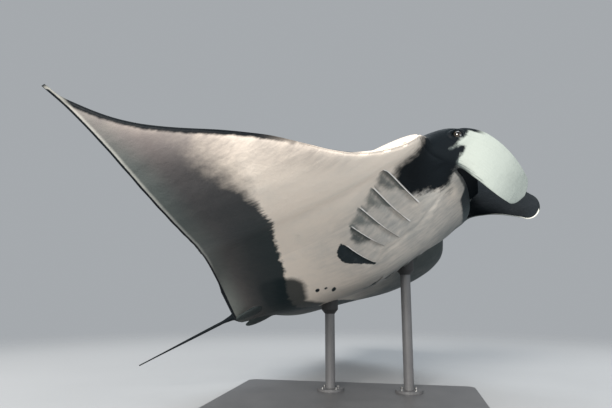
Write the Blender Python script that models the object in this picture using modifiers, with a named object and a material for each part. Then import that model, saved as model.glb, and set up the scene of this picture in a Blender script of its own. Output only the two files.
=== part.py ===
"""Giant oceanic manta ray, life size, swimming with raised right wing, on a steel display stand.

The ray is worked out flat, as fractions of its disc width (x forward, y left, z up), as a ring of
chordwise sections from wing tip to wing tip. The wings are then bent and twisted, and the whole
is scaled, tipped nose up and banked over the stand. Thin cuts part it into its named lengths.
Metres, +Z up. The origin is the centre of the stand's foot.
"""
from math import cos, pi, radians, sin

import bmesh
import bpy
import numpy as np
from mathutils import Matrix, Vector

DISC_WIDTH = 4.5
GAP = 0.0003
CLEARANCE = 0.0012

# Half of the outline from the middle of the snout to the wing tip. Each row is the upper edge's x,
# the lower edge's x, the distance from the middle, and that distance where its section ends behind.
OUTLINE = (
    (-0.009, -0.044, 0.0000, 0.000),
    (-0.010, -0.045, 0.0360, 0.022),
    (-0.012, -0.049, 0.0660, 0.038),
    (-0.016, -0.053, 0.0880, 0.050),
    (-0.028, -0.059, 0.1030, 0.064),
    (-0.055, -0.066, 0.1085, 0.082),
    (-0.0755, -0.0755, 0.122, 0.102),
    (-0.082, -0.082, 0.158, 0.145),
    (-0.097, -0.097, 0.220, 0.216),
    (-0.157, -0.157, 0.300, 0.300),
    (-0.215, -0.215, 0.380, 0.380),
    (-0.295, -0.295, 0.440, 0.440),
    (-0.329, -0.329, 0.480, 0.480),
    (-0.338, -0.338, 0.500, 0.500),
)
REAR_EDGE = ((0.0, -0.427), (0.04, -0.418), (0.08, -0.408), (0.14, -0.3905), (0.22, -0.365),
             (0.30, -0.340), (0.38, -0.328), (0.45, -0.329), (0.48, -0.334), (0.5, -0.3395))
# Heights of the back and of the belly along the middle, and half the wing's thickness along the span.
BACK = ((-0.43, 0.001), (-0.40, 0.007), (-0.35, 0.019), (-0.28, 0.035), (-0.20, 0.047),
        (-0.12, 0.052), (-0.06, 0.051), (-0.03, 0.047), (-0.012, 0.037))
BELLY = ((-0.43, -0.024), (-0.40, -0.028), (-0.35, -0.037), (-0.28, -0.047), (-0.20, -0.055),
         (-0.12, -0.043), (-0.08, -0.033), (-0.044, -0.022))
WING_HALF = ((0.0, 0.021), (0.10, 0.019), (0.16, 0.0145), (0.26, 0.0088), (0.38, 0.0046),
             (0.46, 0.0022), (0.5, 0.0012))
EDGE_HALF = 0.0011
WING_RISE = 0.022
# How far out the belly reaches at each x, and the hollow between gills and wing: how deep, where, how wide.
BELLY_REACH = ((-0.43, 0.055), (-0.33, 0.180), (-0.22, 0.185), (-0.17, 0.165), (-0.13, 0.150))
HOLLOW, HOLLOW_SIDE, HOLLOW_WIDTH = 0.4, 0.145, 0.035
PELVIC_PLACE, PELVIC_SIZE = (-0.394, 0.0165), (0.028, 0.0115, 0.0030)

MOUTH_LEVEL, MOUTH_CORNER, MOUTH_DEPTH, MOUTH_GAP = 0.006, 0.086, 0.085, 0.020
LIP = 0.004
WALL_BULGE, REAR_BULGE = 0.010, 0.004

PIVOT = -0.22
BEND_START, BEND_MIDDLE, BEND_TIP = 0.085, 0.23, 0.36
# Each wing's bends in degrees, where its middle bend ends, how far its tip sweeps back, its twist.
RIGHT_WING = dict(root=-26.1, middle=74.4, middle_end=0.50, tip=0.0, sweep=0.015, twist=-1.7)
LEFT_WING = dict(root=12.8, middle=6.8, middle_end=0.38, tip=-17.8, sweep=0.044, twist=-24.8)

# The two long edges of each head fin, as if both were on the left, and how far its tip bulges.
RIGHT_HEAD_FIN = dict(
    upper=((-0.0115, 0.0994, 0.032), (0.0176, 0.0941, 0.0068), (0.025, 0.071, -0.0325),
           (0.034, 0.0265, -0.037)),
    lower=((-0.050, 0.087, -0.008), (-0.036, 0.092, -0.037), (-0.032, 0.085, -0.064),
           (-0.012, 0.046, -0.068)),
    bulge=0.91)
LEFT_HEAD_FIN = dict(
    upper=((-0.006, 0.1018, 0.044), (0.0170, 0.1090, 0.0780), (0.0500, 0.1000, 0.0220),
           (0.053, 0.065, -0.028)),
    lower=((-0.050, 0.087, -0.008), (-0.013, 0.083, -0.010), (0.002, 0.061, -0.040),
           (0.014, 0.039, -0.064)),
    bulge=0.95)
HEAD_FIN_ROOT_HALF, HEAD_FIN_TIP_HALF, HEAD_FIN_SUNK = 0.0065, 0.0016, 0.04

TAIL_END, TAIL_ROOT, TAIL_THIN, TAIL_TIP = -0.600, 0.0052, 0.0023, 0.0009
TAIL_LEVEL, TAIL_SWELL, TAIL_WHIP = -0.012, -0.428, -0.452
TAIL_CUTS = (-0.480, -0.545)
DORSAL_FRONT, DORSAL_BACK, DORSAL_HEIGHT, DORSAL_HALF = -0.375, -0.422, 0.024, 0.0022
EYE_PLACE, EYE_RADIUS = (-0.0290, 0.1004, 0.0235), 0.0078

NOSE_UP, BANK = 26.43, -18.97
PIVOT_AT = Vector((0.05, 0.02, 1.0))

# Where the cuts pass behind the head, beside it and across each wing, and the block a cell is cut from.
HEAD_CUT, HEAD_SIDE, WING_CUT = -0.132, 0.112, 0.34
CELL_SIZE = 8.0

BASE_LENGTH, BASE_WIDTH, BASE_THICK, BASE_CORNER = 1.70, 1.30, 0.020, 0.06
BASE_EASED = 0.002
ROD_RADIUS, FLANGE_RADIUS, FLANGE_THICK = 0.035, 0.095, 0.016
PAD_RADIUS, PAD_HEIGHT, PAD_NECK, PAD_FLARE, PAD_REACH = 0.060, 0.07, 0.036, 0.030, 0.175
RODS = dict(front=(-0.165, 0.086), rear=(-0.300, 0.080))

# How finely each kind of solid is faceted.
HALF_STATIONS, CHORD_ROWS, REAR_ROWS, FRONT_ROWS = 26, 13, 2, 9
FIN_RINGS, FIN_TIP_RINGS, FIN_AROUND = 10, 5, 16
TAIL_BASE_RINGS, TAIL_RINGS, TAIL_AROUND = 8, 5, 12
EYE_SEGMENTS, EYE_RINGS, PELVIC_SEGMENTS, PELVIC_RINGS = 16, 8, 14, 8
LATHE_SEGMENTS, CORNER_SEGMENTS = 24, 8


def make_material(name, color, roughness):
    material = bpy.data.materials.new(name)
    material.use_nodes = True
    shader = material.node_tree.nodes["Principled BSDF"]
    shader.inputs["Base Color"].default_value = (*color, 1.0)
    shader.inputs["Roughness"].default_value = roughness
    return material


def hermite(points, t):
    """Smooth curve through (t, value) points."""
    grid, value = np.array(points, float).T
    slope = np.gradient(value, grid)
    t = np.clip(t, grid[0], grid[-1])
    i = np.clip(np.searchsorted(grid, t) - 1, 0, len(grid) - 2)
    step = grid[i + 1] - grid[i]
    q = (t - grid[i]) / step
    start = (2 * q**3 - 3 * q**2 + 1) * value[i] + (q**3 - 2 * q**2 + q) * step * slope[i]
    return start + (3 * q**2 - 2 * q**3) * value[i + 1] + (q**3 - q**2) * step * slope[i + 1]


def ease(start, end, t):
    q = np.clip((t - start) / (end - start), 0, 1)
    return q * q * (3 - 2 * q)


def bezier(points, t):
    a, b, c, d = np.array(points, float)
    t = np.asarray(t)[:, None]
    return (1 - t)**3 * a + 3 * (1 - t)**2 * t * b + 3 * (1 - t) * t**2 * c + t**3 * d


# ---- the flat body ----

def foil(chord):
    """Thickness along the chord of a symmetrical wing section, 1 where it is thickest."""
    c = np.clip(chord, 0, 1)
    return (0.2969 * np.sqrt(c) - 0.126 * c - 0.3516 * c**2 + 0.2843 * c**3 - 0.1015 * c**4) / 0.05


def skin_height(x, side, chord, upper):
    """Height of the back or the belly, which runs from the deep middle out into the wing."""
    half = EDGE_HALF + (hermite(WING_HALF, side) - EDGE_HALF) * foil(chord)
    hollow = HOLLOW * np.exp(-((side - HOLLOW_SIDE) / HOLLOW_WIDTH)**2) * ease(-0.21, -0.15, x)
    rise = WING_RISE * (1 - ease(0.10, 0.26, side)) * (1 - 0.6 * np.clip(chord, 0, 1))
    middle = hermite(BACK if upper else BELLY, x)
    crown = 1 - (0.16 if upper else 0.75) * np.clip(side / 0.1, 0, 1)**2 * ease(-0.14, -0.06, x)
    start = 0.10 - 0.10 * ease(-0.04, -0.15, x)
    end = 0.185 - 0.130 * ease(-0.33, -0.43, x) if upper else hermite(BELLY_REACH, x)
    wing = rise + (0.5 * half if upper else -0.7 * half * (1 - hollow))
    return middle * crown + (wing - middle * crown) * ease(start, end, side)


def front_rim(top, bottom, outward):
    """Rows from the belly's front edge up to the back's: a rounded edge, or the lips and the mouth."""
    q = np.linspace(0, 1, FRONT_ROWS + 2)[1:-1][None, :, None]
    bulge = np.minimum(0.5 * np.linalg.norm(top - bottom, axis=-1), WALL_BULGE)[:, None, None]
    wall = bottom[:, None] + (top - bottom)[:, None] * (1 - np.cos(pi * q)) / 2
    wall = wall + outward[:, None] * bulge * np.sin(pi * q)

    side = np.abs(top[:, 1])
    open_part = np.sqrt(np.clip(1 - (side / MOUTH_CORNER)**2, 0, 1))
    half_gap = MOUTH_GAP / 2 * open_part + 0.001
    inner = np.minimum(top[:, 0], bottom[:, 0]) - MOUTH_DEPTH * open_part
    floor, roof = MOUTH_LEVEL - half_gap, MOUTH_LEVEL + half_gap
    path = (
        (0.00, bottom[:, 0], bottom[:, 2]),
        (0.09, bottom[:, 0] + LIP, bottom[:, 2] + 0.3 * (floor - bottom[:, 2])),
        (0.18, bottom[:, 0] + LIP / 2, floor - EDGE_HALF),
        (0.26, bottom[:, 0] - 2.5 * LIP * open_part, floor),
        (0.44, inner, floor),
        (0.50, inner - LIP, np.full_like(floor, MOUTH_LEVEL)),
        (0.56, inner, roof),
        (0.74, top[:, 0] - 2.5 * LIP * open_part, roof),
        (0.82, top[:, 0] + LIP / 2, roof + EDGE_HALF),
        (0.91, top[:, 0] + LIP, top[:, 2] + 0.3 * (roof - top[:, 2])),
        (1.00, top[:, 0], top[:, 2]),
    )
    stops, path_x, path_z = zip(*path)
    rows = q[0, :, 0]
    mouth = np.empty((len(top), len(rows), 3))
    for i in range(len(top)):
        mouth[i, :, 0] = np.interp(rows, stops, [x[i] for x in path_x])
        mouth[i, :, 1] = bottom[i, 1] + (top[i, 1] - bottom[i, 1]) * rows
        mouth[i, :, 2] = np.interp(rows, stops, [z[i] for z in path_z])
    shut = ease(MOUTH_CORNER - 0.010, MOUTH_CORNER, side)[:, None, None]
    return mouth + (wall - mouth) * shut


def body_rings():
    """One closed ring of points for each station, from the right wing tip to the left."""
    u = np.linspace(0, 1, HALF_STATIONS + 1)
    knots = np.linspace(0, 1, len(OUTLINE))
    top_x, bottom_x, side, side_behind = [
        hermite(np.stack([knots, column], 1), u) for column in np.array(OUTLINE).T]
    side[0] = side_behind[0] = 0
    rows = (1 - np.cos(pi * np.linspace(0, 1, CHORD_ROWS))) / 2

    def sheet(front_x, upper):
        x = front_x[:, None] + (hermite(REAR_EDGE, side_behind) - front_x)[:, None] * rows
        y = side[:, None] + (side_behind - side)[:, None] * rows
        return np.stack([x, y, skin_height(x, y, rows[None] + 0 * x, upper)], -1)

    back, belly = sheet(top_x, True), sheet(bottom_x, False)
    along = np.gradient((back[:, 0] + belly[:, 0]) / 2, axis=0)
    outward = np.stack([along[:, 1], -along[:, 0], 0 * along[:, 0]], -1)
    outward /= np.linalg.norm(outward, axis=1)[:, None]
    front = front_rim(back[:, 0], belly[:, 0], outward)
    turn = (np.arange(1, REAR_ROWS + 1) / (REAR_ROWS + 1))[None, :, None]
    first, last = back[:, -1][:, None], belly[:, -1][:, None]
    bulge = np.minimum(0.5 * np.linalg.norm(first - last, axis=-1), REAR_BULGE)[..., None]
    rear = first + (last - first) * (1 - np.cos(pi * turn)) / 2
    rear = rear - np.array([1, 0, 0]) * bulge * np.sin(pi * turn)
    half = np.concatenate([back, rear, belly[:, ::-1], front], 1)
    mirrored = half[:0:-1] * np.array([1, -1, 1])
    return np.concatenate([mirrored, half])


# ---- pose ----

def bend_wing(points, wing, sign):
    """Bend one half about the body's long axis along its span, sweep its tip and twist it."""
    span = np.linspace(0, 0.5, 501)
    turn = np.radians(wing["root"]) * ease(BEND_START, BEND_MIDDLE, span)
    turn += np.radians(wing["middle"]) * ease(BEND_MIDDLE, wing["middle_end"], span)
    turn += np.radians(wing["tip"]) * ease(BEND_TIP, 0.5, span)
    middle = (turn[1:] + turn[:-1]) / 2
    run = np.append(0, np.cumsum(np.cos(middle))) * span[1]
    rise = np.append(0, np.cumsum(np.sin(middle))) * span[1]
    x, y, z = points.T
    side = np.clip(np.abs(y), 0, 0.5)
    over = np.abs(y) - side
    angle = np.interp(side, span, turn)
    out = np.clip((side - 0.11) / 0.39, 0, 1)
    twist = np.radians(wing["twist"]) * out**1.3
    lift = (x - PIVOT) * np.sin(twist) + z
    return np.stack([
        PIVOT + (x - PIVOT) * np.cos(twist) - wing["sweep"] * out**2,
        sign * (np.interp(side, span, run) + over * np.cos(angle) - lift * np.sin(angle)),
        np.interp(side, span, rise) + over * np.sin(angle) + lift * np.cos(angle)], 1)


def place(points):
    """From the flat animal to the world: pose, scale, nose up, bank, and height over the stand."""
    points = np.asarray(points, float).reshape(-1, 3)
    posed = np.empty_like(points)
    left = points[:, 1] >= 0
    posed[left] = bend_wing(points[left], LEFT_WING, 1)
    posed[~left] = bend_wing(points[~left], RIGHT_WING, -1)
    posed = (posed - np.array([PIVOT, 0, 0])) * DISC_WIDTH
    turn = Matrix.Rotation(radians(-NOSE_UP), 3, "Y") @ Matrix.Rotation(radians(BANK), 3, "X")
    return posed @ np.array(turn).T + np.array(PIVOT_AT)


def place_vector(point):
    return Vector(place([point])[0])


# ---- meshes ----

def new_object(name, vertices, faces, collection, material=None, smooth=True):
    mesh = bpy.data.meshes.new(name)
    mesh.from_pydata([tuple(v) for v in vertices], [], faces)
    bm = bmesh.new()
    bm.from_mesh(mesh)
    bmesh.ops.recalc_face_normals(bm, faces=bm.faces)
    bm.to_mesh(mesh)
    bm.free()
    mesh.polygons.foreach_set("use_smooth", [smooth] * len(mesh.polygons))
    item = bpy.data.objects.new(name, mesh)
    collection.objects.link(item)
    if material:
        mesh.materials.append(material)
    return item


def ring_faces(count, size, start=0):
    faces = []
    for i in range(count - 1):
        for j in range(size):
            a, b = start + i * size + j, start + i * size + (j + 1) % size
            faces.append((a, b, b + size, a + size))
    return faces


def whole_body(collection):
    rings = body_rings()
    count, size = rings.shape[:2]
    faces = ring_faces(count, size)
    faces.append(tuple(range(size)))
    faces.append(tuple(reversed(range((count - 1) * size, count * size))))
    item = new_object("whole_body", place(rings.reshape(-1, 3)), faces, collection)
    bm = bmesh.new()
    bm.from_mesh(item.data)
    bmesh.ops.triangulate(bm, faces=bm.faces)
    bm.to_mesh(item.data)
    bm.free()
    item.hide_render = True
    item.display_type = "WIRE"
    return item, rings


def tail_lengths(collection, material, rear_rim):
    """The tail leaves the rear rim as a thick root and thins at once to a stiff whip."""
    turns = 2 * pi * np.arange(TAIL_AROUND) / TAIL_AROUND

    def ring(x):
        thin = ease(TAIL_SWELL, TAIL_WHIP, x)
        radius = TAIL_ROOT + (TAIL_THIN - TAIL_ROOT) * thin
        radius = radius + (TAIL_TIP - TAIL_THIN) * ease(TAIL_WHIP, TAIL_END, x)
        return np.stack([x + 0 * turns, radius * np.cos(turns), TAIL_LEVEL + radius * np.sin(turns)], 1)

    gap = GAP / DISC_WIDTH
    ends = (rear_rim, *TAIL_CUTS, TAIL_END)
    for name, front, back in zip(("tail_base", "tail_middle", "tail_tip"), ends, ends[1:]):
        steps = np.linspace(front - gap, back, TAIL_BASE_RINGS if name == "tail_base" else TAIL_RINGS)
        rings = np.concatenate([ring(x) for x in steps])
        faces = ring_faces(len(steps), TAIL_AROUND)
        faces += [tuple(range(TAIL_AROUND)), tuple(reversed(range(len(rings) - TAIL_AROUND, len(rings))))]
        new_object(name, place(rings), faces, collection, material)


def head_fin(name, shape, sign, collection, material):
    """A paddle lofted between its two long edges, with a round tip and its root sunk in the head."""
    t = np.linspace(-HEAD_FIN_SUNK, 1, FIN_RINGS)
    upper, lower = bezier(shape["upper"], t), bezier(shape["lower"], t)
    ahead = upper[-1] - upper[-2] + lower[-1] - lower[-2]
    ahead /= np.linalg.norm(ahead)
    middle, half = (upper[-1] + lower[-1]) / 2, (upper[-1] - lower[-1]) / 2
    turns = np.radians(np.linspace(0, 86, FIN_TIP_RINGS + 1)[1:])[:, None]
    reach = middle + ahead * np.linalg.norm(half) * shape["bulge"] * np.sin(turns)
    upper = np.concatenate([upper, reach + half * np.cos(turns)])
    lower = np.concatenate([lower, reach - half * np.cos(turns)])
    centre, width = (upper + lower) / 2, (upper - lower) / 2
    normal = np.cross(np.gradient(centre, axis=0), width)
    normal /= np.linalg.norm(normal, axis=1)[:, None]
    along = np.linspace(0, 1, len(centre))
    thick = HEAD_FIN_ROOT_HALF + (HEAD_FIN_TIP_HALF - HEAD_FIN_ROOT_HALF) * ease(0, 0.75, along)
    thick = np.minimum(thick, np.linalg.norm(width, axis=1) * 0.5)
    turns = 2 * pi * (np.arange(FIN_AROUND) + 0.5) / FIN_AROUND
    across = np.sign(np.cos(turns)) * np.abs(np.cos(turns))**0.8
    rings = centre[:, None] + width[:, None] * across[None, :, None]
    rings = rings + normal[:, None] * (thick[:, None] * np.sin(turns))[..., None]
    rings = rings * np.array([1, sign, 1])
    count = len(rings)
    faces = ring_faces(count, FIN_AROUND)
    last = (count - 1) * FIN_AROUND
    faces += [tuple(range(FIN_AROUND)), tuple(reversed(range(last, last + FIN_AROUND)))]
    return new_object(name, place(rings.reshape(-1, 3)), faces, collection, material)


def dorsal_fin(collection, material):
    """A small raked fin on the tail's root, sunk in the back and trimmed to it."""
    outline = ((0.0, -0.4), (0.0, 0.0), (0.45, 0.55), (0.86, 1.0), (1.0, 0.92), (0.98, 0.3), (0.9, -0.4))
    length = DORSAL_BACK - DORSAL_FRONT
    level = float(skin_height(np.array(DORSAL_BACK), np.array(0.0), np.array(1.0), True))
    slope = float(skin_height(np.array(DORSAL_FRONT), np.array(0.0), np.array(0.9), True)) - level
    vertices = []
    for sign in (1, -1):
        for along, height in outline:
            half = DORSAL_HALF * (1 - 0.7 * max(height, 0))
            base = level + slope * (1 - along)
            vertices.append((DORSAL_FRONT + length * along, sign * half, base + DORSAL_HEIGHT * height))
    count = len(outline)
    faces = [tuple(range(count)), tuple(reversed(range(count, 2 * count)))]
    for i in range(count):
        j = (i + 1) % count
        faces.append((i, i + count, j + count, j))
    return new_object("dorsal_fin", place(vertices), faces, collection, material, smooth=False)


def pelvic_fins(collection, material):
    """Two small leaves that lie against the belly beside the vent."""
    x, y = PELVIC_PLACE
    belly = float(skin_height(np.array(x), np.array(y), np.array(0.95), False))
    for label, sign in (("right", -1), ("left", 1)):
        bm = bmesh.new()
        bmesh.ops.create_uvsphere(bm, u_segments=PELVIC_SEGMENTS, v_segments=PELVIC_RINGS, radius=1.0)
        points = [np.array(v.co) * PELVIC_SIZE + (x, sign * y, belly) for v in bm.verts]
        for vertex, at in zip(bm.verts, place(points)):
            vertex.co = at
        mesh = bpy.data.meshes.new(f"pelvic_fin_{label}")
        bm.to_mesh(mesh)
        bm.free()
        mesh.polygons.foreach_set("use_smooth", [True] * len(mesh.polygons))
        mesh.materials.append(material)
        item = bpy.data.objects.new(mesh.name, mesh)
        collection.objects.link(item)
        yield item


# ---- cuts ----

def body_plane(point, other, third):
    """A plane through three flat points, as they lie after posing."""
    a, b, c = (place_vector(p) for p in (point, other, third))
    return a, (b - a).cross(c - a).normalized()


def cell(name, planes, inside, collection):
    """A big block trimmed by planes to the side that holds the flat point inside."""
    bm = bmesh.new()
    bmesh.ops.create_cube(bm, size=CELL_SIZE, matrix=Matrix.Translation(PIVOT_AT))
    keep = place_vector(inside)
    for point, normal in planes:
        if (keep - point).dot(normal) > 0:
            normal = -normal
        result = bmesh.ops.bisect_plane(
            bm, geom=bm.verts[:] + bm.edges[:] + bm.faces[:], plane_co=point - normal * GAP / 2,
            plane_no=normal, clear_outer=True)
        edges = [e for e in result["geom_cut"] if isinstance(e, bmesh.types.BMEdge)]
        bmesh.ops.contextual_create(bm, geom=edges)
    bmesh.ops.recalc_face_normals(bm, faces=bm.faces)
    mesh = bpy.data.meshes.new(name)
    bm.to_mesh(mesh)
    bm.free()
    item = bpy.data.objects.new(name, mesh)
    collection.objects.link(item)
    item.hide_render = True
    item.display_type = "WIRE"
    return item


def boolean(item, cutter, operation):
    modifier = item.modifiers.new(operation.lower(), "BOOLEAN")
    modifier.operation = operation
    modifier.object = cutter
    modifier.solver = "EXACT"
    modifier.use_self = operation == "DIFFERENCE"


def cut_lengths(whole, parts, cutters, material):
    def side_plane(side, sign):
        return body_plane((-0.2, sign * side, 0), (-0.3, sign * side, 0), (-0.2, sign * side, 0.05))

    def cross_plane(x):
        return body_plane((x, 0, 0), (x, 0.05, 0), (x, 0, 0.05))

    mouth = body_plane((-0.05, 0, MOUTH_LEVEL), (-0.1, 0, MOUTH_LEVEL), (-0.05, 0.05, MOUTH_LEVEL))
    flanks = [side_plane(HEAD_SIDE, 1), side_plane(HEAD_SIDE, -1)]
    neck = cross_plane(HEAD_CUT)
    lengths = {
        "head": ([*flanks, neck, mouth], (-0.08, 0, 0.03)),
        "lower_jaw": ([*flanks, neck, mouth], (-0.08, 0, -0.02)),
        "trunk": ([*flanks, neck], (-0.25, 0, 0)),
    }
    for label, sign in (("right", -1), ("left", 1)):
        inner, outer = side_plane(HEAD_SIDE, sign), side_plane(WING_CUT, sign)
        lengths[f"pectoral_fin_{label}"] = ([inner, outer], (-0.25, sign * 0.2, 0))
        lengths[f"pectoral_fin_{label}_tip"] = ([outer], (-0.3, sign * 0.45, 0))
    made = {}
    for name, (planes, inside) in lengths.items():
        item = bpy.data.objects.new(name, whole.data.copy())
        item.data.materials.append(material)
        parts.objects.link(item)
        boolean(item, cell(f"cell_{name}", planes, inside, cutters), "INTERSECT")
        made[name] = item
    return made


def eyes(parts, cutters, head, fins, material):
    """Each eyeball sits in a round socket in the side of the head, a little proud."""
    for label, sign in (("right", -1), ("left", 1)):
        x, y, z = EYE_PLACE
        centre = place_vector((x, sign * y, z))
        bpy.ops.mesh.primitive_uv_sphere_add(
            segments=EYE_SEGMENTS, ring_count=EYE_RINGS, radius=EYE_RADIUS * DISC_WIDTH, location=centre)
        eye = bpy.context.object
        eye.name = f"eye_{label}"
        eye.data.materials.append(material)
        eye.data.polygons.foreach_set("use_smooth", [True] * len(eye.data.polygons))
        move_to(eye, parts)
        bpy.ops.mesh.primitive_uv_sphere_add(
            segments=EYE_SEGMENTS, ring_count=EYE_RINGS, radius=EYE_RADIUS * DISC_WIDTH + 2 * GAP,
            location=centre)
        socket = bpy.context.object
        socket.name = f"socket_{label}"
        socket.hide_render = True
        socket.display_type = "WIRE"
        move_to(socket, cutters)
        boolean(head, socket, "DIFFERENCE")
        boolean(fins[label], socket, "DIFFERENCE")


def move_to(item, collection):
    for old in list(item.users_collection):
        old.objects.unlink(item)
    collection.objects.link(item)


def clearance(name, source, cutters):
    """A copy of a flesh part, a hair larger, that trims what meets it."""
    copy = bpy.data.objects.new(name, source.data.copy())
    cutters.objects.link(copy)
    copy.hide_render = True
    copy.display_type = "WIRE"
    swell = copy.modifiers.new("swell", "DISPLACE")
    swell.mid_level = 0.0
    swell.strength = CLEARANCE
    return copy


# ---- stand ----

def lathe(name, profile, location, collection, material):
    """A turned steel piece from (radius, height) points, given from the foot up."""
    mesh = bpy.data.meshes.new(name)
    links = [(i, i + 1) for i in range(len(profile) - 1)]
    mesh.from_pydata([(radius, 0, height) for radius, height in reversed(profile)], links, [])
    item = bpy.data.objects.new(name, mesh)
    item.location = location
    collection.objects.link(item)
    mesh.materials.append(material)
    screw = item.modifiers.new("turn", "SCREW")
    screw.steps = screw.render_steps = LATHE_SEGMENTS
    screw.use_merge_vertices = True
    screw.merge_threshold = 0.0001
    return item


def base_plate(parts, material):
    bm = bmesh.new()
    bmesh.ops.create_cube(bm, size=1.0, matrix=Matrix.Diagonal((BASE_LENGTH, BASE_WIDTH, BASE_THICK, 1)))
    uprights = [e for e in bm.edges if abs(e.verts[0].co.z - e.verts[1].co.z) > BASE_THICK / 2]
    bmesh.ops.bevel(bm, geom=uprights, offset=BASE_CORNER, segments=CORNER_SEGMENTS,
                    affect="EDGES", profile=0.5)
    mesh = bpy.data.meshes.new("stand_base")
    bm.to_mesh(mesh)
    bm.free()
    item = bpy.data.objects.new("stand_base", mesh)
    item.location = (0, 0, BASE_THICK / 2)
    parts.objects.link(item)
    mesh.materials.append(material)
    edge = item.modifiers.new("eased_edge", "BEVEL")
    edge.width = BASE_EASED
    edge.segments = 2
    edge.limit_method = "ANGLE"
    edge.angle_limit = radians(60)
    return item


def stand(parts, cutters, trunk_clearance, material):
    base_plate(parts, material)
    for label, (x, y) in RODS.items():
        belly = float(skin_height(np.array(x), np.array(y), np.array(0.4), False))
        top = place_vector((x, y, belly))
        foot = Vector((top.x, top.y, BASE_THICK + GAP))
        flange = ((0, 0), (FLANGE_RADIUS, 0), (FLANGE_RADIUS, FLANGE_THICK), (0, FLANGE_THICK))
        lathe(f"stand_flange_{label}", flange, foot, parts, material)
        rod_foot = FLANGE_THICK + GAP
        pad_foot = top.z - foot.z - PAD_HEIGHT
        rod_top = pad_foot - GAP
        rod = ((0, rod_foot), (ROD_RADIUS, rod_foot), (ROD_RADIUS, rod_top), (0, rod_top))
        lathe(f"stand_rod_{label}", rod, foot, parts, material)
        pad = ((0, 0), (PAD_NECK, 0), (PAD_RADIUS, PAD_FLARE), (PAD_RADIUS, PAD_REACH), (0, PAD_REACH))
        pad = lathe(f"stand_pad_{label}", pad, foot + Vector((0, 0, pad_foot)), parts, material)
        boolean(pad, trunk_clearance, "DIFFERENCE")


def main():
    for item in list(bpy.data.objects):
        bpy.data.objects.remove(item, do_unlink=True)
    parts = bpy.data.collections.new("manta_ray")
    cutters = bpy.data.collections.new("cutters")
    bpy.context.scene.collection.children.link(parts)
    bpy.context.scene.collection.children.link(cutters)
    skin = make_material("manta_skin", (0.05, 0.06, 0.07), 0.45)
    eye = make_material("eye_black", (0.01, 0.012, 0.015), 0.08)
    steel = make_material("stand_paint", (0.10, 0.10, 0.105), 0.45)

    whole, rings = whole_body(cutters)
    rear_rim = float(rings[len(rings) // 2, :, 0].min())
    made = cut_lengths(whole, parts, cutters, skin)
    body_clearance = clearance("body_clearance", whole, cutters)
    fins = {}
    for label, shape, sign in (("right", RIGHT_HEAD_FIN, -1), ("left", LEFT_HEAD_FIN, 1)):
        fins[label] = fin = head_fin(f"cephalic_fin_{label}", shape, sign, parts, skin)
        room = clearance(f"fin_room_{label}", fin, cutters)
        boolean(made["head"], room, "DIFFERENCE")
        boolean(made["lower_jaw"], room, "DIFFERENCE")
        boolean(fin, whole, "DIFFERENCE")
    tail_lengths(parts, skin, rear_rim)
    for fin in (dorsal_fin(parts, skin), *pelvic_fins(parts, skin)):
        boolean(fin, body_clearance, "DIFFERENCE")
    eyes(parts, cutters, made["head"], fins, eye)
    stand(parts, cutters, body_clearance, steel)


main()
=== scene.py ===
"""The looks of a life-size giant manta ray, swimming with a raised wing, on a steel display stand.

The ray is worked out flat, as fractions of its disc width (x forward, y left, z up), joined into one
skin, given its folds, and only then bent, scaled, tipped nose up and banked over the stand.
"""
from math import cos, pi, radians, sin

import bmesh
import bpy
import numpy as np
from mathutils import Matrix, Vector


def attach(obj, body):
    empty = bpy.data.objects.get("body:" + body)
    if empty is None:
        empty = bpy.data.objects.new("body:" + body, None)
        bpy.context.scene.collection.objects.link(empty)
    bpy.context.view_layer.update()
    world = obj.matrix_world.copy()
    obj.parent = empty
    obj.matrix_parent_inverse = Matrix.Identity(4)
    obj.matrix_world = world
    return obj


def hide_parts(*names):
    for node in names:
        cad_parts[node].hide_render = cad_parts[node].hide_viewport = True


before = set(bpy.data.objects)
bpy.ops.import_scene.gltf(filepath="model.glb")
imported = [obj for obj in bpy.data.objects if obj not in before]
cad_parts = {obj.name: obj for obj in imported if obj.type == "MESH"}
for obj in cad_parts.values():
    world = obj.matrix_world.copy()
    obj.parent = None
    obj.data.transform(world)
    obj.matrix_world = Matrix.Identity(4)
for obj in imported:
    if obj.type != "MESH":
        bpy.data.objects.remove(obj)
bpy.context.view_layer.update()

# ---- The body ----
# The disc of head, jaw, trunk and pectoral fins is one hide over muscle and cartilage. It is lofted as
# one ring of points for each station from the right wing tip to the left: over the back, round the rear
# edge, under the belly, and up the front edge, which opens into the wide mouth.

disc_width = 4.5
# Half of the outline: the upper edge's x, the lower edge's x, the distance from the middle, and that
# distance where the section ends behind.
outline = np.array((
    (-0.009, -0.044, 0.0000, 0.000),
    (-0.010, -0.045, 0.0360, 0.022),
    (-0.012, -0.049, 0.0660, 0.038),
    (-0.016, -0.053, 0.0880, 0.050),
    (-0.028, -0.059, 0.1030, 0.064),
    (-0.055, -0.066, 0.1085, 0.082),
    (-0.0755, -0.0755, 0.122, 0.102),
    (-0.082, -0.082, 0.158, 0.145),
    (-0.097, -0.097, 0.220, 0.216),
    (-0.157, -0.157, 0.300, 0.300),
    (-0.215, -0.215, 0.380, 0.380),
    (-0.295, -0.295, 0.440, 0.440),
    (-0.329, -0.329, 0.480, 0.480),
    (-0.338, -0.338, 0.500, 0.500),
))
rear_edge = ((0.0, -0.427), (0.04, -0.418), (0.08, -0.408), (0.14, -0.3905), (0.22, -0.365),
             (0.30, -0.340), (0.38, -0.328), (0.45, -0.329), (0.48, -0.334), (0.5, -0.3395))
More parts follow.
